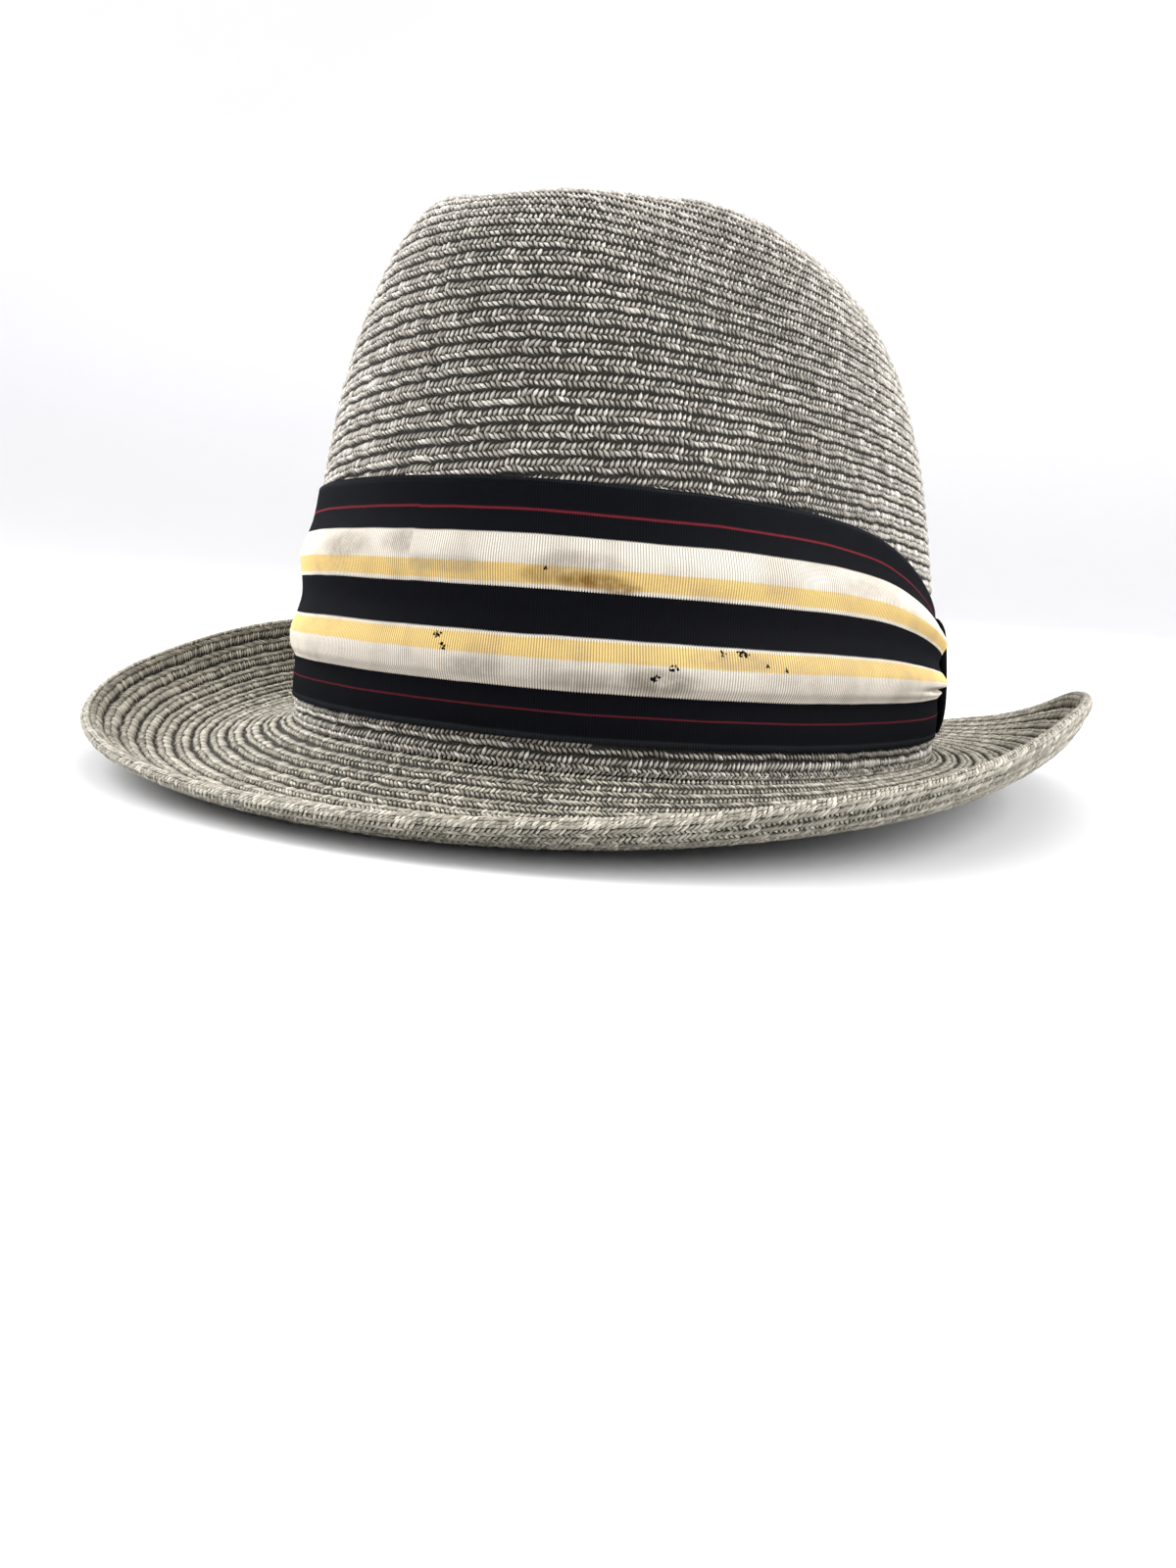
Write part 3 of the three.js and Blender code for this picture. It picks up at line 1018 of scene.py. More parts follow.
@dataclass(frozen=True)
class RowedFace:
    """A face of the hat that is sewn from rows of plait.

    The face is a function of the azimuth and of a row number, which rises up the crown or towards it.
    Bare is 1 where the braid shows and 0 where something lies on it and its bed is sunk.
    """

    point: Surface
    bare: Surface
    plait: Plait
    stray: RowStray
    outward: int = 1
    segments: int = 320
    sunk: float = 0.4 * MM

    @property
    def azimuths(self) -> Array:
        """The azimuths of a ring."""
        return np.arange(self.segments) / self.segments * FULL_TURN

    def at(self, azimuth: Array, row: Array) -> Array:
        """Points on the face, with its rows straying."""
        return self.point(azimuth, row + self.plait.stray * self.stray.at(azimuth, row))

    def frame_at(self, row: Array) -> tuple[Array, Array, Array, Array]:
        """The face's own directions along a ring.

        Args:
            row: The row number at each azimuth.

        Returns:
            The points, the unit directions along the row and across it, and the width of one row there.
        """
        turn, step = 0.004, 0.02
        points = self.at(self.azimuths, row)
        along = unit(self.at(self.azimuths + turn, row) - self.at(self.azimuths - turn, row))
        rise = (self.at(self.azimuths, row + step) - self.at(self.azimuths, row - step)) / (2 * step)
        across = rise - along * np.sum(rise * along, axis=-1, keepdims=True)
        return points, along, unit(across), np.linalg.norm(across, axis=-1)

    def bed(self, rows: Sequence[int]) -> Array:
        """The rings of the braid's bed through some rows, with each row's cross-section.

        Args:
            rows: The row numbers.

        Returns:
            The rings' points.
        """
        rings = []
        for number in rows:
            for section_point in self.plait.section:
                row = np.full(self.segments, number + section_point.across)
                points, along, across, _ = self.frame_at(row)
                out = self.outward * np.cross(along, across)
                bare = self.bare(self.azimuths, row)
                stand_off = section_point.stand_off * bare - self.sunk * (1 - bare)
                rings.append(points + out * stand_off[:, None])
        return np.array(rings)


class StrandGuide:
    """The lines that strands are laid along, with the way each strand points, lies and is sized."""

    def __init__(self) -> None:
        """Starts with no line."""
        self.points: list[Array] = []
        self.edges: list[Array] = []
        self.out: list[Array] = []
        self.lie: list[Array] = []
        self.size: list[Array] = []
        self.count = 0

    def add_ring(self, points: Array, out: Array, lie: Array, size: Array, shown: Array) -> None:
        """Adds a ring, open where it isn't shown.

        Args:
            points: The ring's points.
            out: The way each strand faces.
            lie: The way each strand runs.
            size: Each strand's length, width and height.
            shown: True at the points that have strands.
        """
        around = len(points)
        here = np.arange(around)
        beside = (here + 1) % around
        kept = shown[here] & shown[beside]
        self.edges.append(np.stack([here, beside], axis=-1)[kept] + self.count)
        for column, values in ((self.points, points), (self.out, out), (self.lie, lie), (self.size, size)):
            column.append(values)
        self.count += around

    def add_line(self, face: RowedFace, number: int, line: StrandLine) -> None:
        """Adds one line of strands in one row of a face.

        Args:
            face: The face.
            number: The row number.
            line: Which line of strands.
        """
        style = LINE_STYLES[line]
        row = np.full(face.segments, number + style.across)
        points, along, across, width = face.frame_at(row)
        normal = face.outward * np.cross(along, across)
        lean, slant = math.radians(style.lean * face.plait.lean), math.radians(style.slant)
        out = normal * math.cos(lean) + across * math.sin(lean)
        upward = across * math.cos(lean) - normal * math.sin(lean)
        lie = upward * math.cos(slant) + along * math.sin(slant)
        plait = face.plait
        cover = plait.cover - plait.cover_fall * number
        length = cover * style.reach * width / math.cos(slant)
        size = np.stack([
            length,
            np.full_like(length, plait.strand_width),
            np.full_like(length, plait.strand_height),
        ], axis=-1)
        stand_off = plait.stand_off(style.across) + plait.lift
        self.add_ring(points + normal * stand_off, out, lie, size, face.bare(face.azimuths, row) > 0.5)

    def mesh(self, name: str, rest: Rest) -> bpy.types.Mesh:
        """The lines as a mesh of edges, where the hat rests.

        Args:
            name: The mesh's name.
            rest: How the hat rests.

        Returns:
            The mesh, with its out, lie and size as attributes.
        """
        mesh = bpy.data.meshes.new(name)
        points = rest.put(np.concatenate(self.points))
        mesh.from_pydata(points.tolist(), np.concatenate(self.edges).tolist(), [])
        columns = {
            "out": rest.turn(np.concatenate(self.out)),
            "lie": rest.turn(np.concatenate(self.lie)),
            "size": np.concatenate(self.size),
        }
        for attribute, values in columns.items():
            layer = mesh.attributes.new(attribute, "FLOAT_VECTOR", "POINT")
            layer.data.foreach_set("vector", values.astype(np.float32).ravel())
        return mesh


def strand_mesh() -> bpy.types.Mesh:
    """Makes one strand of unit size: a spindle with a ridge, whose low back lies on the bed.

    Returns:
        A closed mesh of eight triangles.
    """
    ridge_end, ridge_up, back = 0.22, 0.75, -0.25
    points = [
        (-0.5, 0, back), (0.5, 0, back), (0, -0.5, 0), (0, 0.5, 0),
        (-ridge_end, 0, ridge_up), (ridge_end, 0, ridge_up),
    ]
    start, end, right, left, ridge_start, ridge_stop = range(len(points))
    faces = [
        (start, right, ridge_start), (right, ridge_stop, ridge_start), (right, end, ridge_stop),
        (start, ridge_start, left), (left, ridge_start, ridge_stop), (left, ridge_stop, end),
        (start, left, end), (start, end, right),
    ]
    mesh = bpy.data.meshes.new("strand")
    mesh.from_pydata(points, [], faces)
    mesh.shade_smooth()
    return mesh


class StrandTree:
    """The geometry nodes that lay strands along guide lines."""

    def __init__(self) -> None:
        """Builds the tree."""
        self.tree = node_group("lay_strands", "GeometryNodeTree", [
            ("Guide", "INPUT", "NodeSocketGeometry"),
            ("Strand", "INPUT", "NodeSocketObject"),
            ("Stitch", "INPUT", "NodeSocketFloat"),
            ("Unevenness", "INPUT", "NodeSocketFloat"),
            ("Seed", "INPUT", "NodeSocketInt"),
            ("Finish", "INPUT", "NodeSocketMaterial"),
            ("Strands", "OUTPUT", "NodeSocketGeometry"),
        ])
        sketch = NodeSketch(self.tree)
        given = sketch.add("NodeGroupInput").outputs
        lines = sketch.add("GeometryNodeMeshToCurve", {"Mesh": given["Guide"]})
        stitches = sketch.add(
            "GeometryNodeResampleCurve", {"Curve": lines.outputs[0], "Length": given["Stitch"]}, mode="LENGTH"
        )
        out, lie, size = (self._column(sketch, name) for name in ("out", "lie", "size"))
        facing = sketch.add(
            "FunctionNodeAxesToRotation",
            {"Primary Axis": out, "Secondary Axis": lie},
            primary_axis="Z",
            secondary_axis="X",
        )
        uneven = given["Unevenness"]
        swing = self._random(sketch, uneven, given["Seed"])
        turned = sketch.add(
            "FunctionNodeRotateRotation",
            {"Rotation": facing.outputs[0], "Rotate By": self._about_normal(sketch, swing)},
            rotation_space="LOCAL",
        )
        grown = sketch.math("ADD", self._random(sketch, uneven, sketch.math("ADD", given["Seed"], 1)), 1.0)
        scaled = sketch.add("ShaderNodeVectorMath", {0: size, "Scale": grown}, operation="SCALE")
        strand = sketch.add("GeometryNodeObjectInfo", {"Object": given["Strand"]})
        laid = sketch.add("GeometryNodeInstanceOnPoints", {
            "Points": stitches.outputs[0],
            "Instance": strand.outputs["Geometry"],
            "Rotation": turned.outputs[0],
            "Scale": scaled.outputs[0],
        })
        limits = {"Min_001": 0.2, "Max_001": 0.9, "Seed": given["Seed"]}
        shade = sketch.add("FunctionNodeRandomValue", limits, data_type="FLOAT")
        shaded = sketch.add(
            "GeometryNodeStoreNamedAttribute",
            {"Geometry": laid.outputs[0], "Name": "shade", "Value": self._value(shade)},
            data_type="FLOAT",
            domain="INSTANCE",
        )
        real = sketch.add("GeometryNodeRealizeInstances", {"Geometry": shaded.outputs[0]})
        finished = sketch.add(
            "GeometryNodeSetMaterial", {"Geometry": real.outputs[0], "Material": given["Finish"]}
        )
        sketch.add("NodeGroupOutput", {"Strands": finished.outputs[0]})

    @staticmethod
    def _column(sketch: NodeSketch, name: str) -> bpy.types.NodeSocket:
        """A vector that the guide carries."""
        node = sketch.add("GeometryNodeInputNamedAttribute", {"Name": name}, data_type="FLOAT_VECTOR")
        return node.outputs[0]

    @staticmethod
    def _value(node: bpy.types.Node) -> bpy.types.NodeSocket:
        """The number that a random value node puts out."""
        return next(socket for socket in node.outputs if socket.identifier == "Value_001")

    @classmethod
    def _random(cls, sketch: NodeSketch, most: object, seed: object) -> bpy.types.NodeSocket:
        """A number for each strand, from minus the most to the most."""
        least = sketch.math("MULTIPLY", most, -1.0)
        inputs = {"Min_001": least, "Max_001": most, "Seed": seed}
        return cls._value(sketch.add("FunctionNodeRandomValue", inputs, data_type="FLOAT"))

    @staticmethod
    def _about_normal(sketch: NodeSketch, angle: object) -> bpy.types.NodeSocket:
        """A turn about the way a strand faces."""
        inputs = {"Axis": (0.0, 0.0, 1.0), "Angle": angle}
        return sketch.add("FunctionNodeAxisAngleToRotation", inputs).outputs[0]

    def lay(self, guide: bpy.types.Object, **inputs: object) -> None:
        """Lays strands along a guide and makes the result a plain mesh.

        Args:
            guide: The guide, which becomes the strands.
            **inputs: The tree's inputs, by name.
        """
        modifier = guide.modifiers.new("strands", "NODES")
        modifier.node_group = self.tree
        for item in self.tree.interface.items_tree:
            if item.name in inputs:
                modifier[item.identifier] = inputs[item.name]
        graph = bpy.context.evaluated_depsgraph_get()
        mesh = bpy.data.meshes.new_from_object(
            guide.evaluated_get(graph), preserve_all_data_layers=True, depsgraph=graph
        )
        guide.modifiers.clear()
        guide.data = mesh


@dataclass
class BraidWorks:
    """What the crown and the brim share: the strand, its tree and the bed's finish of painted shade."""

    unevenness: float = 0.25

    def __post_init__(self) -> None:
        """Builds the shared strand, tree and materials."""
        self.tree = StrandTree()
        self.bed_painted_shade = PaintedShadeBedFinish().material()
        self.strand = bpy.data.objects.new("strand", strand_mesh())

    def strands(
        self, name: str, guide: StrandGuide, rest: Rest, stitch: float, seed: int, finish: bpy.types.Material
    ) -> bpy.types.Object:
        """Lays the strands of a guide.

        Args:
            name: The piece's name.
            guide: The guide.
            rest: How the hat rests.
            stitch: How far apart the strands are.
            seed: The seed of the strands' unevenness.
            finish: The strands' material.

        Returns:
            The strands as one piece.
        """
        piece = add_object(name, guide.mesh(name, rest))
        self.tree.lay(
            piece,
            Strand=self.strand,
            Stitch=stitch,
            Unevenness=self.unevenness,
            Seed=seed,
            Finish=finish,
        )
        return piece


def seat(piece: bpy.types.Object, slot: str, *nodes: str) -> None:
    """Makes a piece ride on the hat and stand for some of the frame's nodes."""
    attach(piece, "root")
    if nodes:
        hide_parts(*nodes)
    piece.data.calc_loop_triangles()
    LOG.info("%s: %d triangles", piece.name, len(piece.data.loop_triangles))


@dataclass(frozen=True)
class RibbonShape:
    """The ribbon as it is worn: its height on the crown, its pleats and how the keeper gathers them.

    The braid runs in under its upper edge by the tuck.
    """

    form: HatForm
    foot: float = 6.5 * MM
    height: float = 51.7 * MM
    slant: float = 3 * MM
    wall: float = 1.0 * MM
    tuck: float = 0.4 * MM
    pleat_ups: tuple[float, ...] = (0, 0.1, 0.2, 0.25, 0.33, 0.41, 0.5, 0.59, 0.69, 0.77, 0.86, 1)
    pleat_stand_offs: tuple[float, ...] = (0.1, 0.3, 0.4, 1.9, 2.4, 1.4, 0.6, 1.2, 2.4, 1.5, 0.4, 0.1)
    gather_azimuth: float = 122
    level_stripe: float = 0.22
    shrink: float = 0.52
    thicken: float = 0.5
    front_reach: float = 30
    back_reach: float = 34
    pocket_azimuth: float = 110
    pocket_along: float = 11
    pocket_up: float = 0.262
    pocket_reach_up: float = 0.019
    pocket_depth: float = 3.4 * MM
    press: float = 0.55
    press_reach: float = 5.5

    def gathered(self, azimuth: Array) -> Array:
        """How far the keeper has drawn the pleats together, from 0 to 1."""
        away = np.mod(np.degrees(azimuth), 360) - self.gather_azimuth
        return bell(away / np.where(away < 0, self.front_reach, self.back_reach))

    def fullness(self, azimuth: Array) -> Array:
        """How much fuller the pleats are than elsewhere: gathered, but pressed in under the keeper."""
        away = np.mod(np.degrees(azimuth), 360) - self.gather_azimuth
        return (1 + self.thicken * self.gathered(azimuth)) * (1 - self.press * bell(away / self.press_reach))

    def height_at(self, azimuth: Array, up: Array, drawn: Array) -> Array:
        """The height on the crown behind a point of the ribbon."""
        above = np.maximum(up - self.level_stripe, 0)
        height = self.height * (up - above * self.shrink * drawn)
        return self.foot + height + self.slant * np.sin(azimuth) * up

    def covers(self, azimuth: Array, height: Array) -> Array:
        """1 where the ribbon lies on the crown at a height, and 0 elsewhere."""
        top = self.height_at(azimuth, np.ones_like(azimuth), self.gathered(azimuth))
        return ((height > self.foot) & (height < top - self.tuck)).astype(float)

    def point(self, azimuth: Array, up: Array, lift: float) -> Array:
        """Points on the ribbon.

        Args:
            azimuth: Azimuths in radians.
            up: How far up the ribbon, from 0 at its lower edge to 1.
            lift: How far the points stand off the ribbon's inner face.

        Returns:
            The points.
        """
        azimuth, up = np.broadcast_arrays(azimuth, up)
        drawn = self.gathered(azimuth)
        place = self.form.place_at_height(self.height_at(azimuth, up, drawn))
        pleat = np.maximum(smooth_column(self.pleat_ups, self.pleat_stand_offs, up), 0) * MM
        out = surface_normal(self.form.crown_point, azimuth, place)
        away = np.mod(np.degrees(azimuth), 360) - self.pocket_azimuth
        pocket = bell(away / self.pocket_along) * bell((up - self.pocket_up) / self.pocket_reach_up)
        folded = np.maximum(pleat * self.fullness(azimuth) - self.pocket_depth * pocket, 0)
        stand_off = self.form.gap + folded + lift
        return self.form.crown_point(azimuth, place) + out * stand_off[..., None] + self.form.raised


@dataclass
class BraidCrown:
    """The crown: a hollow wall of braid rows from the break to the middle of the tip."""

    form: HatForm
    rest: Rest
    works: BraidWorks
    ribbon: RibbonShape
    plait: Plait = Plait()
    spacing_azimuth: float = math.radians(50)
    row_slant: float = 7.9 * MM
    inner_rings: int = 24
    bands: tuple[str, ...] = ("low", "middle", "high", "tip")
    samples: int = 800
    stray_seed: int = 3
    strand_seed: int = 10

    def __post_init__(self) -> None:
        """Spaces the rows evenly along one meridian."""
        places = np.linspace(0, 1, self.samples)
        points = self.form.crown_point(np.array(self.spacing_azimuth), places)
        steps = np.linalg.norm(np.diff(points, axis=0), axis=-1)
        lengths = np.concatenate([[0], np.cumsum(steps)])
        self.rows = round(lengths[-1] / self.plait.row)
        self._row_numbers = lengths / lengths[-1] * self.rows
        self._places = places
        stray = RowStray(self.rows, self.stray_seed)
        self.face = RowedFace(self.point, self.bare, self.plait, stray)

    def place(self, azimuth: Array, row: Array) -> Array:
        """The place up the crown of a row, which climbs towards the wearer's left about half way up."""
        level = np.interp(row, self._row_numbers, self._places)
        height = self.form.rise * self.form.rise_at(level)
        climb = self.row_slant * np.sin(azimuth) * np.sin(math.pi * height / self.form.rise)
        return level + self.form.place_at_height(height + climb) - self.form.place_at_height(height)

    def point(self, azimuth: Array, row: Array) -> Array:
        """Points on the outside of the crown, by row number."""
        return self.form.crown_point(azimuth, self.place(azimuth, row)) + self.form.raised

    def bare(self, azimuth: Array, row: Array) -> Array:
        """1 where the ribbon leaves the crown bare."""
        height = self.form.rise * self.form.rise_at(self.place(azimuth, row))
        return 1 - self.ribbon.covers(azimuth, height)

    def build(self) -> None:
        """Builds the wall and its strands."""
        rows = range(self.rows)
        outer = self.face.bed(rows)
        azimuths = self.face.azimuths
        inner_rows = np.linspace(self.rows, 0, self.inner_rings + 1)[1:]
        places = np.interp(inner_rows, self._row_numbers, self._places)
        inner = []
        for level in places:
            place = np.full_like(azimuths, level)
            out = surface_normal(self.form.crown_point, azimuths, place)
            ring = self.form.crown_point(azimuths, place) - out * self.form.crown_wall + self.form.raised
            if level == 0:
                ring[:, 2] = self.form.gap
            inner.append(ring)
        tip = self.form.crown_point(np.array(0.0), np.array(1.0)) + self.form.raised
        poles = np.array([tip - [0, 0, self.form.crown_wall], tip])
        rings = np.concatenate([np.array(inner), outer])
        shell = mesh_from_rings("crown_shell", self.rest.put(rings), self.rest.put(poles))
        self.shell = add_object("crown_shell", shell)
        self.strands = []
        finish = StrandFinish().material()
        shares = np.array_split(np.arange(self.rows), len(self.bands))
        for seed, (band, numbers) in enumerate(zip(self.bands, shares), self.strand_seed):
            guide = StrandGuide()
            if band == self.bands[0]:
                guide.add_line(self.face, 0, StrandLine.BREAK)
            for number in numbers:
                for line in ROW_LINES:
                    guide.add_line(self.face, int(number), line)
            name = f"crown_strands_{band}"
            piece = self.works.strands(name, guide, self.rest, self.plait.stitch, seed, finish)
            self.strands.append(piece)

    def dress(self) -> None:
        """Gives the wall its finish and seats every piece."""
        mesh = self.shell.data
        mesh.materials.append(self.works.bed_painted_shade)
        mesh.materials.append(BackFinish().material())
        inside = np.zeros(len(mesh.polygons), np.int32)
        inside[: (self.inner_rings - 1) * self.face.segments] = 1
        inside[-2 * self.face.segments :: 2] = 1
        mesh.polygons.foreach_set("material_index", inside)
        seat(self.shell, "crown_braid", "crown")
        for piece in self.strands:
            seat(piece, "crown_braid")


@dataclass
class BraidBrim:
    """The brim: one wall of braid rows with a rolled rim."""

    form: HatForm
    rest: Rest
    works: BraidWorks
    plait: Plait = BRIM_PLAIT
    rows: int = 12
    rim_bed: tuple[float, ...] = (0.85, 0.45, 0.0, -0.45, -0.85)
    rim_lines: tuple[float, ...] = (0.85, 0.3, -0.3, -0.85)
    rim_slant: float = math.radians(64)
    rim_strand: float = 2.3 * MM
    rim_height: float = 0.3 * MM
    top_seed: int = 5
    under_seed: int = 7
    strand_seed: int = 20

    def __post_init__(self) -> None:
        """Makes the two faces, whose rows are counted from the rim to the crown."""
        top_stray, under_stray = (RowStray(self.rows, seed) for seed in (self.top_seed, self.under_seed))
        self.top = RowedFace(self.top_point, self.bare, self.plait, top_stray)
        self.under = RowedFace(self.under_point, self.bare, self.plait, under_stray, outward=-1)

    def share(self, row: Array) -> Array:
        """How far across the brim a row is."""
        return 1 - row / self.rows

    def top_point(self, azimuth: Array, row: Array) -> Array:
        """Points on the upper face, by row number."""
        return self.form.brim_point(azimuth, self.share(row))

    def under_point(self, azimuth: Array, row: Array) -> Array:
        """Points on the lower face, by row number."""
        return self.form.brim_underside(azimuth, self.share(row))

    @staticmethod
    def bare(azimuth: Array, row: Array) -> Array:
        """The whole brim is bare."""
        return np.ones(np.broadcast(azimuth, row).shape)

    def build(self) -> None:
        """Builds the wall and its strands."""
        rows = range(self.rows)
        upper, lower = self.top.bed(rows), self.under.bed(rows)
        azimuths = self.top.azimuths
        rim = [self.form.rim_point(azimuths, np.full_like(azimuths, turn)) for turn in self.rim_bed]
        rings = np.concatenate([upper[::-1], rim, lower])
        shell = mesh_from_rings("brim_shell", self.rest.put(rings), loop=True)
        self.shell = add_object("brim_shell", shell)
        self.strands = []
        finish = BRIM_STRAND_YELLOWER_AND_SHADED.material()
        guides = {"top": StrandGuide(), "under": StrandGuide(), "rim": StrandGuide()}
        for side, face in (("top", self.top), ("under", self.under)):
            for number in rows:
                for line in ROW_LINES:
                    guides[side].add_line(face, number, line)
        for turn in self.rim_lines:
            self._add_rim_line(guides["rim"], turn)
        for seed, (side, guide) in enumerate(guides.items(), self.strand_seed):
            name = f"brim_strands_{side}"
            piece = self.works.strands(name, guide, self.rest, self.plait.stitch, seed, finish)
            self.strands.append(piece)

    def _add_rim_line(self, guide: StrandGuide, turn: float) -> None:
        """Adds a line of strands round the rim, which slant as in a twisted cord.

        Args:
            guide: The guide to add it to.
            turn: Where it runs, from -1 at the lower face to 1 at the upper one.
        """
        step = 0.004
        azimuths = self.top.azimuths
        turns = np.full_like(azimuths, turn)
        points = self.form.rim_point(azimuths, turns)
        ahead, behind = (self.form.rim_point(azimuths + move, turns) for move in (step, -step))
        above, below = (self.form.rim_point(azimuths, turns + move) for move in (0.1, -0.1))
        along, across = unit(ahead - behind), unit(above - below)
        out = unit(np.cross(along, across))
        lie = across * math.cos(self.rim_slant) + along * math.sin(self.rim_slant)
        size = np.tile([self.rim_strand, self.plait.strand_width, self.rim_height], (len(azimuths), 1))
        guide.add_ring(points, out, lie, size, np.ones(len(azimuths), bool))

    def dress(self) -> None:
        """Gives the wall its finish and seats every piece."""
        self.shell.data.materials.append(self.works.bed_painted_shade)
        seat(self.shell, "brim_braid", "brim")
        for piece in self.strands:
            seat(piece, "brim_braid")


@dataclass
class PleatedRibbon:
    """The striped ribbon round the foot of the crown, laid in two soft pleats."""

    shape: RibbonShape
    rest: Rest
    finish: RibbonFinish = field(default_factory=RibbonFinish)
    rib_depth: float = 0.14 * MM
    flat_width: float = 54 * MM
    length_samples: int = 2000
    up_rings: int = 35
    pocket_rings: int = 11
    inner_every: int = 6

    def build(self) -> None:
        """Builds the ribbon as a closed sheet whose ribs are in its mesh."""
        around = np.linspace(0, FULL_TURN, self.length_samples)
        middle = self.shape.point(around, np.full_like(around, 0.5), self.shape.wall)
        self.length = float(np.linalg.norm(np.diff(middle, axis=0), axis=-1).sum())
        ribs = round(self.length / self.finish.pitch)
        azimuths = np.arange(2 * ribs) / (2 * ribs) * FULL_TURN
        crest = np.where(np.arange(2 * ribs) % 2 == 0, 0.0, -self.rib_depth)
        near_pocket = np.linspace(-2, 2, self.pocket_rings) * self.shape.pocket_reach_up
        even = np.linspace(0, 1, self.up_rings)
        ups = np.unique(np.concatenate([even, self.shape.pocket_up + near_pocket]))
        inner_ups = ups[:: self.inner_every]
        outer = np.array([self.shape.point(azimuths, np.full_like(azimuths, up), self.shape.wall + crest)
                          for up in ups])
        inner = np.array([self.shape.point(azimuths, np.full_like(azimuths, up), 0.0) for up in inner_ups])
        rings = np.concatenate([outer, inner[::-1]])
        mesh = mesh_from_rings("ribbon", self.rest.put(rings), loop=True)
        self.length = ribs * self.finish.pitch
        along = np.arange(2 * ribs) / (2 * ribs) * self.length
        self._map(mesh, along, np.concatenate([ups, inner_ups[::-1]]) * self.finish.width)
        self.piece = add_object("ribbon", mesh)

    @staticmethod
    def _map(mesh: bpy.types.Mesh, along: Array, up: Array) -> None:
        """Lays a UV map in metres over a mesh of rings: along the ribbon and up it."""
        around = len(along)
        corners = np.zeros(len(mesh.loops), np.int32)
        mesh.loops.foreach_get("vertex_index", corners)
        ring, spot = corners // around, corners % around
        u = along[spot]
        quad = u.reshape(-1, 4)
        far = quad.max(axis=1, keepdims=True) - quad > along[-1] / 2
        quad[far] += along[1] + along[-1]
        layer = mesh.uv_layers.new(name="weave")
        layer.data.foreach_set("uv", np.stack([u, up[ring]], axis=-1).astype(np.float32).ravel())

    def dress(self) -> None:
        self.piece.data.materials.append(self.finish.material(self.length))
        seat(self.piece, "ribbon_stripes", "ribbon_band")


@dataclass
class RibbonKeeper:
    """The short loop of plain ribbon that gathers the pleats at the wearer's left."""

    shape: RibbonShape
    rest: Rest
    half_width: float = 5 * MM
    wall: float = 0.9 * MM
    crown: float = 0.3 * MM
    clear: float = 0.15 * MM
    bridge_power: int = 6
    across: int = 25
    rows: int = 49

    def azimuth(self, across: Array) -> Array:
        """The azimuth of a place across the keeper, from -1 to 1."""
        return math.radians(self.shape.gather_azimuth) + across * self.half_width / self.shape.form.half_width

    def outside(self, across: Array, up: Array) -> Array:
        """Points on the keeper's outside, which bridges the pleats.

        Args:
            across: Places across it, from -1 to 1.
            up: Places up it, from 0 to 1.

        Returns:
            The points.
        """
        form, shape = self.shape.form, self.shape
        azimuth = self.azimuth(across)
        highest = max(shape.pleat_stand_offs) * MM * float(shape.fullness(self.azimuth(np.array(1.0))))
        bridge = highest * (1 - (2 * up - 1) ** self.bridge_power) + self.crown * (1 - across * across)
        place = form.place_at_height(shape.height_at(azimuth, up, np.ones_like(azimuth)))
        out = surface_normal(form.crown_point, azimuth, place)
        stand_off = 2 * form.gap + shape.wall + bridge + self.wall
        return form.crown_point(azimuth, place) + out * stand_off[..., None] + form.raised

    def inside(self, across: Array, up: Array) -> Array:
        """Points on the keeper's inside, which lies on the pleats."""
        return self.shape.point(self.azimuth(across), up, self.shape.wall + self.clear)

    def build(self) -> None:
        """Builds the loop as a closed mesh."""
        across = np.linspace(-1, 1, self.across)
        loops = []
        for up in np.linspace(0, 1, self.rows):
            here = np.full_like(across, up)
            loops.append(np.concatenate([self.outside(across, here), self.inside(across, here)[::-1]]))
        loops = np.array(loops)
        poles = np.array([loops[0].mean(axis=0), loops[-1].mean(axis=0)])
        mesh = mesh_from_rings("ribbon_loop", self.rest.put(loops), self.rest.put(poles))
        layer = mesh.uv_layers.new(name="weave")
        corners = np.zeros(len(mesh.loops), np.int32)
        mesh.loops.foreach_get("vertex_index", corners)
        ring, spot = corners // loops.shape[1], corners % loops.shape[1]
        width = np.concatenate([across, across[::-1]])[spot] * self.half_width
        height = ring / self.rows * self.shape.height
        layer.data.foreach_set("uv", np.stack([height, width], axis=-1).astype(np.float32).ravel())
        self.piece = add_object("ribbon_loop", mesh)

    def dress(self) -> None:
        """Gives the loop its plain ribbon."""
        self.piece.data.materials.append(PlainRibbonFinish().material())
        seat(self.piece, "ribbon_black", "ribbon_keeper")


@dataclass(frozen=True)
class SoftBox:
    """A soft light: where it stands, how large it is and how strong."""

    name: str
    place: tuple[float, float, float]
    size: float
    power: float


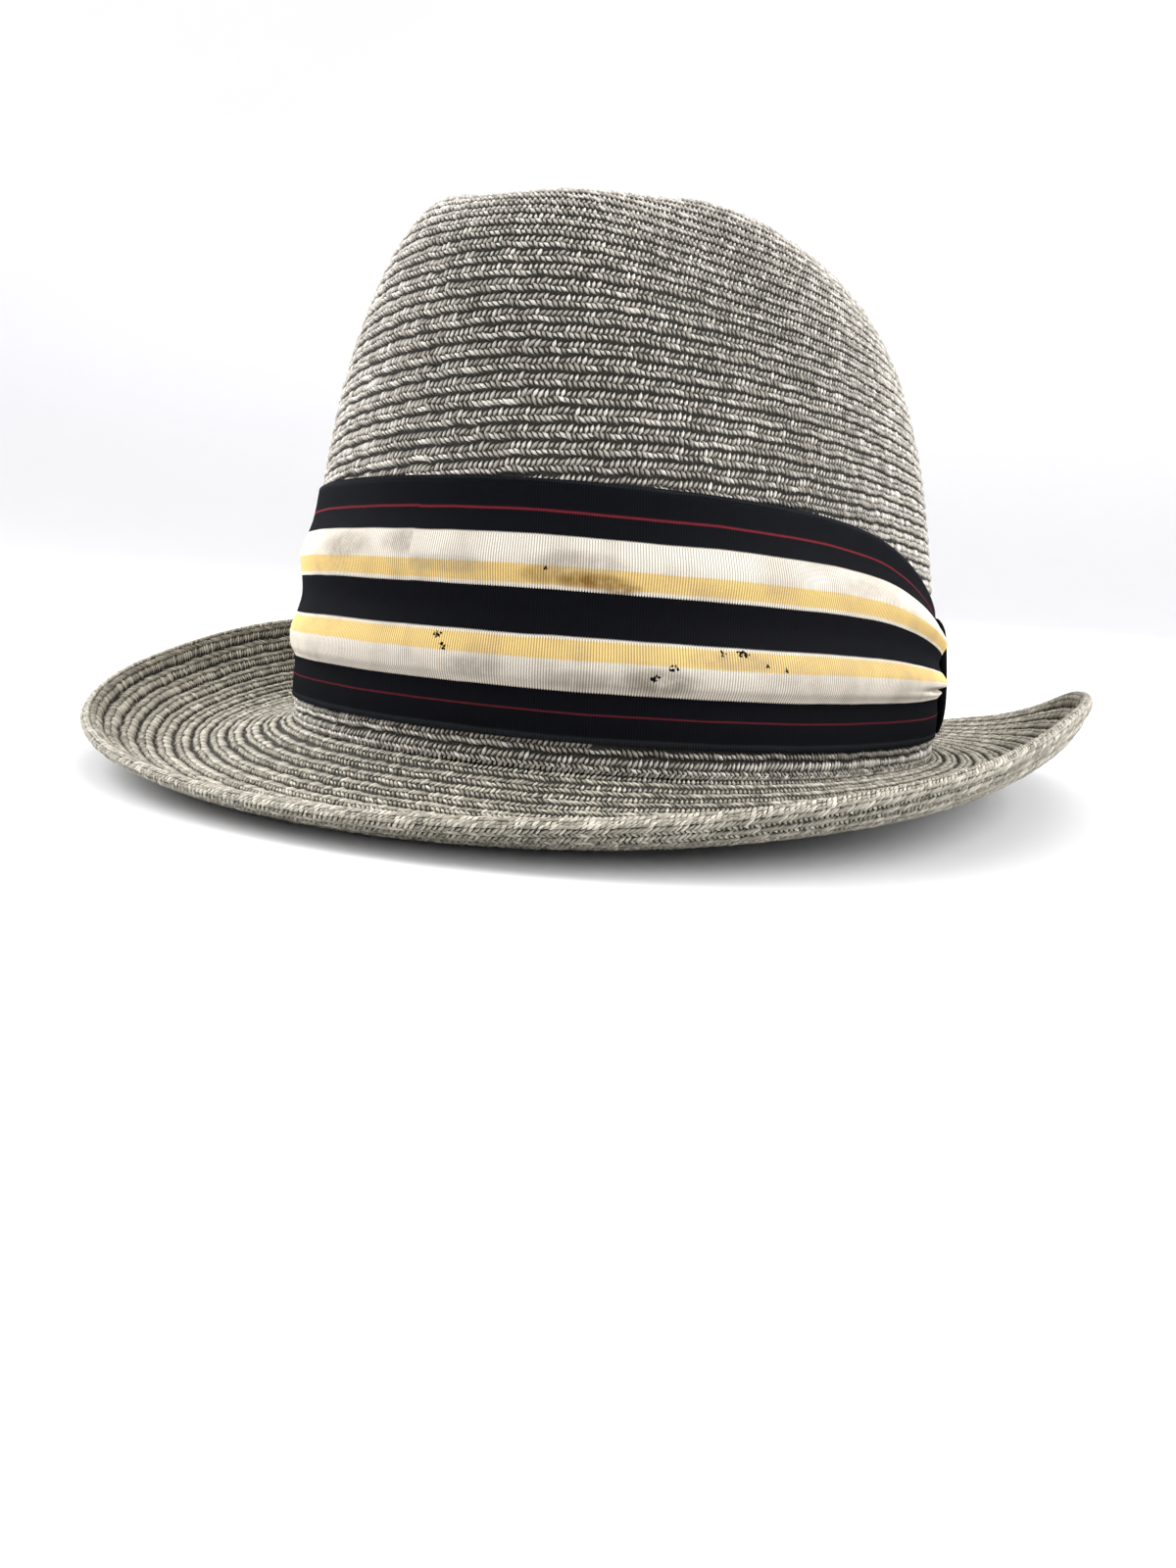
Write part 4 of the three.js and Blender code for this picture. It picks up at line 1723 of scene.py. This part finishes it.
@dataclass
class Studio:
    """The pale backdrop, the soft lights and the camera."""

    rest: Rest
    floor_radius: float = 1.6
    wall_radius: float = 1.2
    wall_height: float = 3.2
    focal_px: float = 1464.0
    frame_px: tuple[int, int] = (1200, 1600)
    sensor: float = 36.0
    eye: tuple[float, float, float] = (200.72 * MM, -362.75 * MM, 42.57 * MM)
    yaw: float = math.radians(30.204)
    pitch: float = math.radians(-8.063)
    roll: float = math.radians(4.92)
    lights: tuple[SoftBox, ...] = (
        SoftBox("left", (-1.2, -0.4, 0.9), 1.3, 25),
        SoftBox("right", (1.2, 0.55, 0.9), 1.3, 25),
        SoftBox("front", (0.5, -1.4, 1.0), 1.2, 6),
        SoftBox("top", (0.0, 0.2, 1.8), 1.4, 10),
    )
    sky: float = 0.86
    aim: tuple[float, float, float] = (0.0, 0.0, 0.07)
    floor_rings: tuple[float, ...] = (0.3, 0.7, 1.1)
    curve_steps: int = 13
    backdrop_segments: int = 96
    near: float = 10 * MM

    def build(self) -> None:
        """Builds the backdrop, the lights and the camera."""
        self._backdrop()
        for light in self.lights:
            self._light(light)
        world = bpy.data.worlds.new("studio")
        world.use_nodes = True
        world.node_tree.nodes["Background"].inputs["Color"].default_value = (1, 1, 1, 1)
        world.node_tree.nodes["Background"].inputs["Strength"].default_value = self.sky
        bpy.context.scene.world = world
        bpy.context.scene.view_settings.view_transform = "Standard"
        self._camera()

    def _backdrop(self) -> None:
        """A floor that curves up into a wall all round."""
        turns = np.linspace(0, math.pi / 2, self.curve_steps)
        radii = [*self.floor_rings, *(self.floor_radius + self.wall_radius * np.sin(turns))]
        heights = [*np.zeros(len(self.floor_rings)), *(self.wall_radius * (1 - np.cos(turns)))]
        radii.append(radii[-1])
        heights.append(self.wall_height)
        azimuths = np.linspace(0, FULL_TURN, self.backdrop_segments, endpoint=False)
        rings = np.array([
            np.stack([r * np.cos(azimuths), r * np.sin(azimuths), np.full_like(azimuths, z)], axis=-1)
            for r, z in zip(radii, heights)
        ])
        count, around = rings.shape[:2]
        points = [(0.0, 0.0, 0.0), *rings.reshape(-1, 3).tolist()]
        faces = []
        for i in range(around):
            j = (i + 1) % around
            faces.append((0, 1 + i, 1 + j))
            for ring in range(count - 1):
                low, high = 1 + ring * around, 1 + (ring + 1) * around
                faces.append((low + i, high + i, high + j, low + j))
        mesh = bpy.data.meshes.new("backdrop")
        mesh.from_pydata(points, [], faces)
        mesh.shade_smooth()
        mesh.materials.append(BackdropFinish().material())
        add_object("backdrop", mesh)

    def _light(self, box: SoftBox) -> None:
        """Adds one soft light that faces the hat."""
        data = bpy.data.lights.new(box.name, "AREA")
        data.shape = "DISK"
        data.size = box.size
        data.energy = box.power
        light = bpy.data.objects.new(box.name, data)
        light.location = box.place
        way = Vector(self.aim) - light.location
        light.rotation_euler = way.to_track_quat("-Z", "Y").to_euler()
        bpy.context.scene.collection.objects.link(light)

    def _camera(self) -> None:
        """Adds the camera, which was placed against the level hat and turns with it."""
        ahead = np.array([
            -math.sin(self.yaw) * math.cos(self.pitch),
            math.cos(self.yaw) * math.cos(self.pitch),
            math.sin(self.pitch),
        ])
        level = np.array([math.cos(self.yaw), math.sin(self.yaw), 0.0])
        above = np.cross(level, ahead)
        right = level * math.cos(self.roll) + above * math.sin(self.roll)
        up = above * math.cos(self.roll) - level * math.sin(self.roll)
        axes = [Vector(self.rest.turn(axis)) for axis in (right, up, -ahead)]
        place = Vector(self.rest.put(np.array(self.eye)))
        data = bpy.data.cameras.new("camera")
        data.sensor_width = self.sensor
        data.lens = self.focal_px * self.sensor / max(self.frame_px)
        data.clip_start = self.near
        camera = bpy.data.objects.new("camera", data)
        camera.matrix_world = Matrix.Translation(place) @ Matrix(axes).transposed().to_4x4()
        bpy.context.scene.collection.objects.link(camera)
        bpy.context.scene.camera = camera


def main() -> None:
    """Builds and dresses the hat in its studio."""
    logging.basicConfig(level=logging.INFO, format="%(name)s: %(message)s")
    form = HatForm()
    rest = Rest.from_frame(form)
    Studio(rest).build()
    works = BraidWorks()
    shape = RibbonShape(form)
    pieces = (
        BraidCrown(form, rest, works, shape),
        BraidBrim(form, rest, works),
        PleatedRibbon(shape, rest),
        RibbonKeeper(shape, rest),
    )
    for piece in pieces:
        piece.build()
        piece.dress()


if __name__ == "__main__":
    main()
